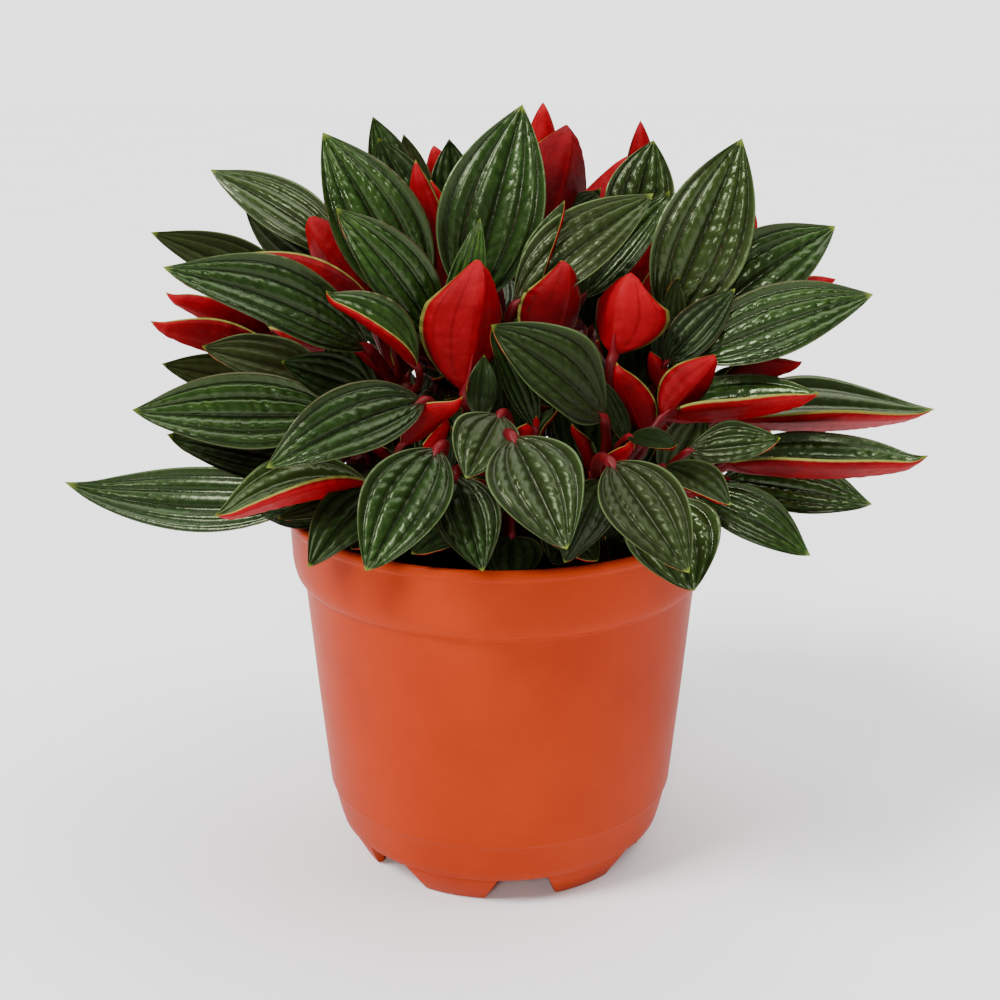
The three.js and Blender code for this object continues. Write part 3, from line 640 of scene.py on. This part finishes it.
def shoot_leaves(name):
    """Where a shoot's stem stands, its crown and its leaves."""
    foot, crown, tones, rows = SHOOTS[name]
    dice = random.Random(SEED + len(name) * 7 + len(rows))
    return foot, crown, [leaf_of(row, tone, dice) for row, tone in zip(rows, tones)]


def tuft(crown, dice):
    """The small dark leaves close round a crown; their dark tone d is partly painted shade."""
    leaves = []
    for i in range(TUFT_LEAVES):
        kind = i % len(TUFT_TILTS)
        turn = 360 * (i + dice.uniform(*TUFT_SHIFT)) / TUFT_LEAVES
        tilt = math.radians(dice.uniform(*TUFT_TILTS[kind]))
        out = Vector((math.cos(math.radians(turn)), math.sin(math.radians(turn)), 0))
        way = out * math.cos(tilt) + Vector((0, 0, math.sin(tilt)))
        base = Vector(crown) + way * dice.uniform(*TUFT_GAPS)
        tip = base + way * dice.uniform(*TUFT_LENGTHS)
        wide = dice.uniform(*TUFT_WIDTHS) * TUFT_WIDEST
        face = (turn + 180 if kind == UPRIGHT else turn, TUFT_FACE)
        leaves.append(leaf_of((tuple(base), tuple(tip), wide, face, TUFT_CUP, TUFT_ARCH), "d", dice))
    return leaves


def whole(value):
    """The nearest whole number, halves upwards, as in the solids."""
    return math.floor(value + 0.5)


def turned_leaves(name, degrees, skipped, roll):
    """The same shoot at another place round the pot's axis: its large leaves, a little wider."""
    foot, crown, leaves = shoot_leaves(name)
    turn = math.radians(degrees)

    def moved(point):
        x, y, *rest = point
        return (
            whole(x * math.cos(turn) - y * math.sin(turn)),
            whole(x * math.sin(turn) + y * math.cos(turn)),
            *rest,
        )

    kept = [leaf for i, leaf in enumerate(leaves) if leaf.wide >= FAR_SIDE_NARROWEST and i not in skipped]
    for leaf in kept:
        leaf.base = moved(leaf.base)
        leaf.tip = moved(leaf.tip)
        leaf.wide *= FAR_SIDE
        leaf.face = (leaf.face[0] + degrees + roll, leaf.face[1])
    return moved(foot), moved(crown), kept


def crown_ball(bm, crown):
    """The knobby crown that the stalks spring from."""
    made = bmesh.ops.create_icosphere(bm, subdivisions=3, radius=CROWN_RADIUS)["verts"]
    for vert in made:
        lump = noise.noise(vert.co * CROWN_LUMPS + Vector(crown))
        vert.co = vert.co * (1 + CROWN_LUMP_HEIGHT * lump) + Vector(crown)
    for face in {f for vert in made for f in vert.link_faces}:
        face.material_index = STALK_SKIN


def make_shoot(name, foot, crown, leaves, materials):
    """One leafy shoot as one piece: its stem, its crown, and every stalk and blade."""
    bm = bmesh.new()
    points, places, tones, reliefs = [], [], [], []

    def add(pattern, spots, place, tone, relief):
        bm.from_mesh(pattern.mesh)
        points.append(spots)
        places.append(place)
        tones.append(np.tile(tone, (len(spots), 1)))
        reliefs.append(np.stack([relief, relief], 1))

    place = np.stack([STEM.around / math.tau, STEM.along], 1)
    add(STEM, stem_points(foot, crown), place, STEM_TONE, np.zeros(len(place)))
    # The small leaves take the dark tone d, partly painted shade deep in the shoot
    small = [leaf_of(row, "d", random.Random(SEED)) for row in SMALL_LEAVES.get(name, ())]
    for leaf in leaves + small + tuft(crown, random.Random(sum(map(abs, crown)))):
        blade = next(pattern for narrowest, pattern in BLADES if leaf.wide >= narrowest)
        tone = (leaf.shade, leaf.chance)
        spots, relief = blade_points(leaf, blade)
        add(blade, spots, np.stack([(blade.across + 1) / 2, blade.along], 1), tone, relief)
        stalk = STALK if leaf.wide >= TUFT_WIDEST else THIN_STALK
        place = np.stack([stalk.around / math.tau, stalk.along], 1)
        vein = np.clip((stalk.along - VEIN_COLOUR_START) / VEIN_COLOUR_BLEND, 0, 1)
        add(stalk, stalk_points(crown, leaf, stalk), place, tone, vein)
    mesh = bpy.data.meshes.new(name)
    bm.to_mesh(mesh)
    bm.free()
    mesh.vertices.foreach_set("co", np.concatenate(points).ravel())
    corner = np.zeros(len(mesh.loops), int)
    mesh.loops.foreach_get("vertex_index", corner)
    for title, values in (("blade", places), ("tone", tones), ("relief", reliefs)):
        layer = mesh.uv_layers.new(name=title)
        layer.uv.foreach_set("vector", np.concatenate(values)[corner].ravel())
    bm = bmesh.new()
    bm.from_mesh(mesh)
    crown_ball(bm, crown)
    bmesh.ops.scale(bm, vec=(MM, MM, MM), verts=bm.verts)
    closed_and_outward(bm)
    bm.to_mesh(mesh)
    bm.free()
    finished_piece(name + "_leaves", mesh, materials, [name])


# Materials

def shader(name):
    """A new material: its nodes, its links and its main shader."""
    material = bpy.data.materials.new(name)
    material.use_nodes = True
    nodes = material.node_tree.nodes
    return material, nodes, material.node_tree.links, nodes["Principled BSDF"]


def ramp(nodes, links, source, stops):
    """A colour ramp on a value; a stop is (place, grey or colour)."""
    node = nodes.new("ShaderNodeValToRGB")
    elements = node.color_ramp.elements
    while len(elements) < len(stops):
        elements.new(0.5)
    for element, (place, colour) in zip(elements, stops):
        element.position = place
        rgb = (colour,) * 3 if isinstance(colour, (int, float)) else colour
        element.color = (*rgb, 1)
    links.new(source, node.inputs["Fac"])
    return node.outputs["Color"]


def sums(nodes, links, operation, *values):
    """A Math node on numbers or sockets."""
    node = nodes.new("ShaderNodeMath")
    node.operation = operation
    for socket, value in zip(node.inputs, values):
        if isinstance(value, (int, float)):
            socket.default_value = value
        else:
            links.new(value, socket)
    return node.outputs[0]


def adding(nodes, links, level, *parts):
    """A level with (value, amount) parts added to it."""
    for value, amount in parts:
        level = sums(nodes, links, "MULTIPLY_ADD", value, amount, level)
    return level


def blended(nodes, links, share, under, over):
    """A Mix node on colours."""
    node = nodes.new("ShaderNodeMix")
    node.data_type = "RGBA"
    for socket, value in ((node.inputs[0], share), (node.inputs[6], under), (node.inputs[7], over)):
        if isinstance(value, tuple):
            socket.default_value = (*value, 1)
        else:
            links.new(value, socket)
    return node.outputs[2]


def painted(nodes, links, mask, strength, under, over):
    """One colour over another where a mask is light, at a strength."""
    return blended(nodes, links, sums(nodes, links, "MULTIPLY", mask, strength), under, over)


def grain(nodes, links, scale, detail=3.0, roughness=0.55, stretch=None):
    """A noise in the piece's own space; scale is in features a metre."""
    place = nodes.new("ShaderNodeTexCoord").outputs["Object"]
    if stretch:
        mapping = nodes.new("ShaderNodeMapping")
        mapping.inputs["Scale"].default_value = stretch
        links.new(place, mapping.inputs["Vector"])
        place = mapping.outputs["Vector"]
    node = nodes.new("ShaderNodeTexNoise")
    node.inputs["Scale"].default_value = scale
    node.inputs["Detail"].default_value = detail
    node.inputs["Roughness"].default_value = roughness
    links.new(place, node.inputs["Vector"])
    return node.outputs["Fac"]


def raised(nodes, links, height, strength, distance, normal=None):
    """A bump from a height, over another bump if one is given."""
    node = nodes.new("ShaderNodeBump")
    node.inputs["Strength"].default_value = strength
    node.inputs["Distance"].default_value = distance
    links.new(height, node.inputs["Height"])
    if normal:
        links.new(normal, node.inputs["Normal"])
    return node.outputs["Normal"]


def blade_place(nodes, links):
    """Across (0 at the middle vein, 1 at the margin), along (0 to 1), shade, chance and relief of a leaf."""
    values = []
    for title in ("blade", "tone", "relief"):
        layer = nodes.new("ShaderNodeUVMap")
        layer.uv_map = title
        split = nodes.new("ShaderNodeSeparateXYZ")
        links.new(layer.outputs["UV"], split.inputs["Vector"])
        values += [split.outputs["X"], split.outputs["Y"]]
    side = sums(nodes, links, "MULTIPLY_ADD", values[0], 2.0, -1.0)
    values[0] = sums(nodes, links, "ABSOLUTE", side)
    return values[:5]


def leaf_top_finish():
    """Glossy deep green, browner on dark leaves, pale margin, lime tip, painted shade in veins and valleys.
    """
    material, nodes, links, shine = shader("leaf_top")
    out, along, shade, chance, relief = blade_place(nodes, links)
    veins = ramp(nodes, links, out, (
        (0, 1), (0.05, 0.25), (0.12, 0), (0.38, 0), (0.43, 0.2), (0.45, 1), (0.47, 0.2), (0.52, 0),
        (0.75, 0), (0.79, 0.7), (0.81, 0.7), (0.85, 0),
    ))
    clouds = grain(nodes, links, 70, 3)
    mottle = grain(nodes, links, 420, 4)
    # The tone sets the leaf's lightness: for k and d partly painted shade, for b partly painted light
    level = sums(nodes, links, "ADD", shade, -0.6)
    # Painted shade: darker in the sunken veins and, by the relief, in the valleys between the puckers
    parts = (clouds, 0.4), (mottle, 0.4), (veins, -0.2), (relief, 0.2), (along, 0.22)
    level = adding(nodes, links, level, *parts)
    colour = ramp(nodes, links, level, (
        (0.0, (0.003, 0.006, 0.002)), (0.3, (0.006, 0.012, 0.0025)), (0.55, (0.010, 0.026, 0.004)),
        (0.8, (0.022, 0.055, 0.007)), (1.0, (0.07, 0.13, 0.014)),
    ))
    aged = adding(nodes, links, sums(nodes, links, "MULTIPLY", shade, -0.9), (chance, 0.9))
    colour = blended(nodes, links, aged, colour, (0.026, 0.029, 0.008))
    # Painted shade: the sunken veins get a near black green
    colour = painted(nodes, links, veins, 0.55, colour, (0.003, 0.004, 0.0015))
    root = ramp(nodes, links, along, ((0, 1), (0.03, 0.8), (0.12, 0)))
    colour = painted(nodes, links, root, 0.7, colour, (0.02, 0.008, 0.004))
    margin = ramp(nodes, links, out, ((0, 0), (0.86, 0), (0.94, 0.1), (0.96, 0.45), (0.98, 1), (1, 1)))
    rim = ramp(nodes, links, chance, (
        (0, (0.045, 0.022, 0.010)), (0.3, (0.05, 0.05, 0.02)), (0.5, (0.06, 0.09, 0.03)),
        (1, (0.09, 0.13, 0.045)),
    ))
    colour = painted(nodes, links, margin, 0.85, colour, rim)
    tip = ramp(nodes, links, along, ((0, 0), (0.955, 0), (0.985, 1), (1, 1)))
    colour = blended(nodes, links, tip, colour, (0.13, 0.17, 0.02))
    links.new(colour, shine.inputs["Base Color"])
    rough = sums(nodes, links, "MULTIPLY_ADD", mottle, 0.3, 0.33)
    links.new(adding(nodes, links, rough, (shade, -0.45)), shine.inputs["Roughness"])
    links.new(sums(nodes, links, "MULTIPLY_ADD", shade, 1.0, -0.2), shine.inputs["Specular IOR Level"])
    shine.inputs["Specular Tint"].default_value = (0.85, 1, 0.6, 1)
    fine = grain(nodes, links, 1500, 3)
    bump = raised(nodes, links, mottle, 0.22, 0.0006)
    links.new(raised(nodes, links, fine, 0.18, 0.0002, bump), shine.inputs["Normal"])
    return material


def leaf_under_finish():
    """Satin red: paler middle vein, darker side veins, lime margin and tip, painted shade towards the foot.
    """
    material, nodes, links, shine = shader("leaf_under")
    out, along, shade, chance = blade_place(nodes, links)[:4]
    clouds = grain(nodes, links, 110, 4, 0.6)
    level = adding(nodes, links, sums(nodes, links, "MULTIPLY", chance, 0.25), (clouds, 0.65))
    # The tone sets the leaf's lightness: for k and d partly painted shade, for b partly painted light
    level = sums(nodes, links, "ADD", level, sums(nodes, links, "MULTIPLY_ADD", shade, 1.1, -0.66))
    # Painted shade: darker towards the foot of the blade, deep in the plant, lighter towards the tip
    level = adding(nodes, links, level, (along, 0.5))
    colour = ramp(nodes, links, level, (
        (0.1, (0.03, 0.0003, 0.001)), (0.32, (0.08, 0.0005, 0.002)), (0.55, (0.16, 0.0009, 0.0034)),
        (0.85, (0.28, 0.0015, 0.006)),
    ))
    vein = ramp(nodes, links, out, ((0, 1), (0.03, 0.6), (0.07, 0)))
    colour = painted(nodes, links, vein, 0.3, colour, (0.26, 0.008, 0.010))
    sides = ramp(nodes, links, out, ((0, 0), (0.4, 0), (0.45, 1), (0.5, 0), (0.75, 0), (0.8, 0.8), (0.85, 0)))
    colour = painted(nodes, links, sides, 0.4, colour, (0.05, 0.0004, 0.001))
    margin = ramp(nodes, links, out, ((0, 0), (0.94, 0), (0.962, 1), (1, 1)))
    colour = painted(nodes, links, margin, 0.85, colour, (0.22, 0.24, 0.05))
    tip = ramp(nodes, links, along, ((0, 0), (0.965, 0), (0.99, 1), (1, 1)))
    colour = blended(nodes, links, tip, colour, (0.15, 0.14, 0.02))
    links.new(colour, shine.inputs["Base Color"])
    fine = grain(nodes, links, 900, 3)
    links.new(sums(nodes, links, "MULTIPLY_ADD", fine, 0.14, 0.45), shine.inputs["Roughness"])
    shine.inputs["Specular IOR Level"].default_value = 0.05
    cells = grain(nodes, links, 330, 3)
    bump = raised(nodes, links, cells, 0.35, 0.0008)
    links.new(raised(nodes, links, fine, 0.12, 0.0003, bump), shine.inputs["Normal"])
    return material


def stalk_finish():
    """Smooth red with faint upright streaks, brighter where a stalk runs on under its blade."""
    material, nodes, links, shine = shader("stalk")
    streaks = grain(nodes, links, 500, 3, stretch=(1, 1, 0.15))
    colour = ramp(nodes, links, streaks, (
        (0.25, (0.03, 0.0005, 0.001)), (0.5, (0.065, 0.001, 0.002)), (0.8, (0.11, 0.002, 0.003)),
    ))
    vein = blade_place(nodes, links)[4]
    colour = blended(nodes, links, vein, colour, (0.12, 0.0011, 0.0045))
    links.new(colour, shine.inputs["Base Color"])
    links.new(sums(nodes, links, "MULTIPLY_ADD", streaks, 0.1, 0.4), shine.inputs["Roughness"])
    shine.inputs["Specular IOR Level"].default_value = 0.15
    links.new(raised(nodes, links, streaks, 0.25, 0.0004), shine.inputs["Normal"])
    return material


def pot_finish():
    """Orange moulded plastic, satin, with faint clouds and a fine mould grain."""
    material, nodes, links, shine = shader("pot_plastic")
    clouds = grain(nodes, links, 22, 4, 0.6)
    specks = grain(nodes, links, 260, 3)
    level = adding(nodes, links, sums(nodes, links, "ADD", clouds, -0.09), (specks, 0.18))
    colour = ramp(nodes, links, level, (
        (0.25, (0.30, 0.022, 0.0015)), (0.5, (0.35, 0.027, 0.002)), (0.75, (0.39, 0.033, 0.003)),
    ))
    links.new(colour, shine.inputs["Base Color"])
    links.new(sums(nodes, links, "MULTIPLY_ADD", specks, 0.12, 0.40), shine.inputs["Roughness"])
    shine.inputs["Specular IOR Level"].default_value = 0.07
    fine = grain(nodes, links, 2200, 2)
    bump = raised(nodes, links, fine, 0.08, 0.0002)
    links.new(raised(nodes, links, clouds, 0.12, 0.002, bump), shine.inputs["Normal"])
    return material


def soil_finish():
    """Dark damp peat with paler specks."""
    material, nodes, links, shine = shader("soil_peat")
    lumps = grain(nodes, links, 260, 6, 0.7)
    fine = grain(nodes, links, 1400, 4, 0.7)
    level = adding(nodes, links, sums(nodes, links, "MULTIPLY", lumps, 0.5), (fine, 0.5))
    colour = ramp(nodes, links, level, (
        (0.3, (0.0006, 0.0004, 0.0003)), (0.5, (0.002, 0.0013, 0.001)), (0.62, (0.006, 0.004, 0.0025)),
        (0.75, (0.02, 0.012, 0.007)),
    ))
    links.new(colour, shine.inputs["Base Color"])
    shine.inputs["Roughness"].default_value = 0.9
    shine.inputs["Specular IOR Level"].default_value = 0.1
    links.new(raised(nodes, links, level, 0.9, 0.0015), shine.inputs["Normal"])
    return material


def floor_finish():
    """A pale matt floor."""
    material, nodes, links, shine = shader("pale_floor")
    faint = grain(nodes, links, 6, 2)
    links.new(ramp(nodes, links, faint, ((0.3, 0.90), (0.7, 0.92))), shine.inputs["Base Color"])
    shine.inputs["Roughness"].default_value = 0.9
    return material


# The pot and its soil

def add_foot(bm, middle):
    """One foot of the pot's ring, wider at its top: an arc is spun and then fitted between two gaps."""
    foot = bmesh.new()
    span = math.radians(FOOT_SPAN)
    turned_body(foot, (
        (FOOT_RADIUS + 1, FOOT_HEIGHT + 0.3), (FOOT_RADIUS - 2.2, 0.35), (FOOT_RADIUS - 1.9, 0),
        (FOOT_RADIUS - 0.5, 0), (FOOT_RADIUS, 0.4), (WALL_BOTTOM_RADIUS - 1.0, FOOT_HEIGHT - 0.6),
        (WALL_BOTTOM_RADIUS - 0.9, FOOT_HEIGHT + 0.3), (FOOT_RADIUS + 1, FOOT_HEIGHT + 0.3),
    ), FOOT_STEPS, span)
    bmesh.ops.remove_doubles(foot, verts=foot.verts, dist=TOUCHING)
    bmesh.ops.holes_fill(foot, edges=[e for e in foot.edges if e.is_boundary], sides=0)
    widest = math.tau / FOOT_COUNT / 2
    gap_bottom = math.radians(HALF_GAP_BOTTOM)
    gap_top = math.radians(HALF_GAP_TOP)
    for vert in foot.verts:
        share = math.atan2(vert.co.y, vert.co.x) / span
        radius = math.hypot(vert.co.x, vert.co.y)
        height = vert.co.z / (FOOT_HEIGHT * MM)
        reach = widest - gap_bottom + (gap_bottom - gap_top) * height
        turn = middle + (2 * share - 1) * reach
        vert.co = Vector((radius * math.cos(turn), radius * math.sin(turn), vert.co.z))
    mesh = bpy.data.meshes.new("foot")
    foot.to_mesh(mesh)
    foot.free()
    bm.from_mesh(mesh)
    bpy.data.meshes.remove(mesh)


def make_pot(material):
    """The pot: a rolled lip, a flared collar, a tapered wall with a low step, and a ring of feet."""
    bm = bmesh.new()
    top = POT_HEIGHT
    collar = COLLAR_BOTTOM
    wall = WALL_BOTTOM_RADIUS
    floor = FOOT_HEIGHT + WALL
    turned_body(bm, (
        (0, FOOT_HEIGHT), (wall - 1.6, FOOT_HEIGHT), (wall - 0.5, FOOT_HEIGHT + 0.15),
        (wall - 0.05, FOOT_HEIGHT + 0.6), (48.2, 12), (49.95, 19.9), (50.12, 20.35),
        (50.42, 20.62), (50.55, 21.1), (53.2, 50), (55.9, collar - 1.2),
        (WALL_TOP_RADIUS, collar - 0.45), (56.25, collar - 0.15), (56.9, collar + 0.15), (57.6, collar + 0.8),
        (58.3, collar + 2), (58.85, collar + 4), (59.2, collar + 6.5), (59.4, collar + 12), (59.5, top - 3.5),
        (59.52, top - 3.0), (59.7, top - 2.75), (59.93, top - 2.5), (LIP_RADIUS, top - 2.1),
        (LIP_RADIUS, top - 1.2), (59.85, top - 0.6), (59.5, top - 0.2), (59.0, top), (58.5, top - 0.05),
        (58.0, top - 0.35), (57.7, top - 0.9), (57.6, top - 2), (57.2, collar + 5), (56.4, collar + 2),
        (55.0, collar + 0.3), (54.2, collar - 0.6), (48.6, 20.3), (wall - WALL, floor), (0, floor),
    ), POT_STEPS)
    for i in range(FOOT_COUNT):
        add_foot(bm, math.radians(FIRST_GAP) + math.tau / FOOT_COUNT * (i + 0.5))
    closed_and_outward(bm)
    mesh = bpy.data.meshes.new("pot")
    bm.to_mesh(mesh)
    bm.free()
    mesh.set_sharp_from_angle(angle=math.radians(SHARP_EDGE))
    finished_piece("nursery_pot", mesh, [material], ["pot"])


def add_crumb(bm, dice):
    """One loose crumb of peat on the soil."""
    radius = CRUMB_SPREAD * math.sqrt(dice.random())
    turn = dice.uniform(0, math.tau)
    size = dice.uniform(*CRUMB_SIZES) * MM
    height = SOIL_TOP + SOIL_MOUND - CRUMB_SINK - max(0, radius - FLAT_RADIUS) * CRUMB_FALL
    place = Matrix.Translation(Vector((radius * math.cos(turn), radius * math.sin(turn), height)) * MM)
    spin = Matrix.Rotation(dice.uniform(0, math.tau), 4, "Z")
    tilt = Matrix.Rotation(dice.uniform(0, CRUMB_TILT), 4, "X")
    stretch = Matrix.Diagonal((*(dice.uniform(*span) for span in CRUMB_STRETCH), 1))
    matrix = place @ (spin @ tilt) @ stretch
    made = bmesh.ops.create_icosphere(bm, subdivisions=1, radius=size, matrix=matrix)
    for vert in made["verts"]:
        vert.co += Vector([dice.uniform(-CRUMB_CORNERS, CRUMB_CORNERS) for _ in range(3)]) * size


def make_soil(material):
    """Lumpy peat with loose crumbs on it."""
    bm = bmesh.new()
    peak = SOIL_TOP + SOIL_MOUND
    bottom = FOOT_HEIGHT + WALL + SOIL_PLAY
    outline = [(SOIL_RING * i, peak) for i in range(FLAT_RINGS)]
    for i in range(SLOPE_RINGS + 1):
        share = i / SLOPE_RINGS
        outline.append((FLAT_RADIUS + (SLOPE_RADIUS - FLAT_RADIUS) * share, peak - SLOPE_DROP * share))
    outline += [(53.6, COLLAR_BOTTOM), (45.0, bottom), (0, bottom)]
    turned_body(bm, outline, SOIL_STEPS)
    bmesh.ops.remove_doubles(bm, verts=bm.verts, dist=TOUCHING)
    for vert in bm.verts:
        if vert.co.z > (SOIL_TOP - LUMP_ZONE) * MM:
            inward = (LUMP_EDGE * MM - math.hypot(vert.co.x, vert.co.y)) / (LUMP_FADE * MM)
            lumps = sum(height * noise.noise(vert.co * count) for count, height in LUMPS)
            vert.co.z += (min(1, max(0, inward)) * lumps - SETTLED) * MM
    dice = random.Random(SEED)
    for _ in range(CRUMBS):
        add_crumb(bm, dice)
    closed_and_outward(bm)
    mesh = bpy.data.meshes.new("soil")
    bm.to_mesh(mesh)
    bm.free()
    finished_piece("potting_soil", mesh, [material], ["soil"])


# The camera, the light and the floor

def sun(name, place, strength, spread):
    """Even light over the whole floor, from as many degrees of the sky as spread says."""
    light = bpy.data.lights.new(name, "SUN")
    light.energy = strength
    light.angle = math.radians(spread)
    lamp = bpy.data.objects.new(name, light)
    lamp.location = place
    lamp.rotation_euler = (-Vector(place)).to_track_quat("-Z", "Y").to_euler()
    bpy.context.scene.collection.objects.link(lamp)


def set_stage():
    """The camera at the photograph's place, a white sky, the suns and the floor."""
    camera = bpy.data.cameras.new("camera")
    camera.lens = LENS
    camera.sensor_width = SENSOR
    camera.clip_start = NEAREST
    eye = bpy.data.objects.new("camera", camera)
    eye.location = EYE
    eye.rotation_euler = (math.radians(EYE_TILT), 0, 0)
    bpy.context.scene.collection.objects.link(eye)
    bpy.context.scene.camera = eye

    world = bpy.data.worlds.new("studio")
    world.use_nodes = True
    nodes, links = world.node_tree.nodes, world.node_tree.links
    sky = nodes["Background"]
    sky.inputs["Color"].default_value = (1, 1, 1, 1)
    seen = nodes.new("ShaderNodeLightPath").outputs["Is Camera Ray"]
    links.new(sums(nodes, links, "MULTIPLY_ADD", seen, SEEN_SKY - SOFT_SKY, SOFT_SKY), sky.inputs["Strength"])
    bpy.context.scene.world = world
    for name, (place, strength, spread) in SUNS.items():
        sun(name, place, strength, spread)

    bm = bmesh.new()
    bmesh.ops.create_grid(bm, x_segments=2, y_segments=2, size=FLOOR_REACH)
    bmesh.ops.translate(bm, verts=bm.verts, vec=(0, 0, -FLOOR_DROP))
    mesh = bpy.data.meshes.new("floor")
    bm.to_mesh(mesh)
    bm.free()
    mesh.materials.append(floor_finish())
    floor = bpy.data.objects.new("floor", mesh)
    bpy.context.scene.collection.objects.link(floor)


# Everything is made

set_stage()
make_pot(pot_finish())
make_soil(soil_finish())
leaf_materials = [leaf_top_finish(), leaf_under_finish(), stalk_finish()]
for title in SHOOTS:
    make_shoot("shoot_" + title, *shoot_leaves(title), leaf_materials)
for title, (source, *turn) in FAR_SHOOTS.items():
    make_shoot("shoot_" + title, *turned_leaves(source, *turn), leaf_materials)
for pattern in (*(blade for _, blade in BLADES), STALK, THIN_STALK, STEM):
    bpy.data.meshes.remove(pattern.mesh)

bpy.context.view_layer.update()
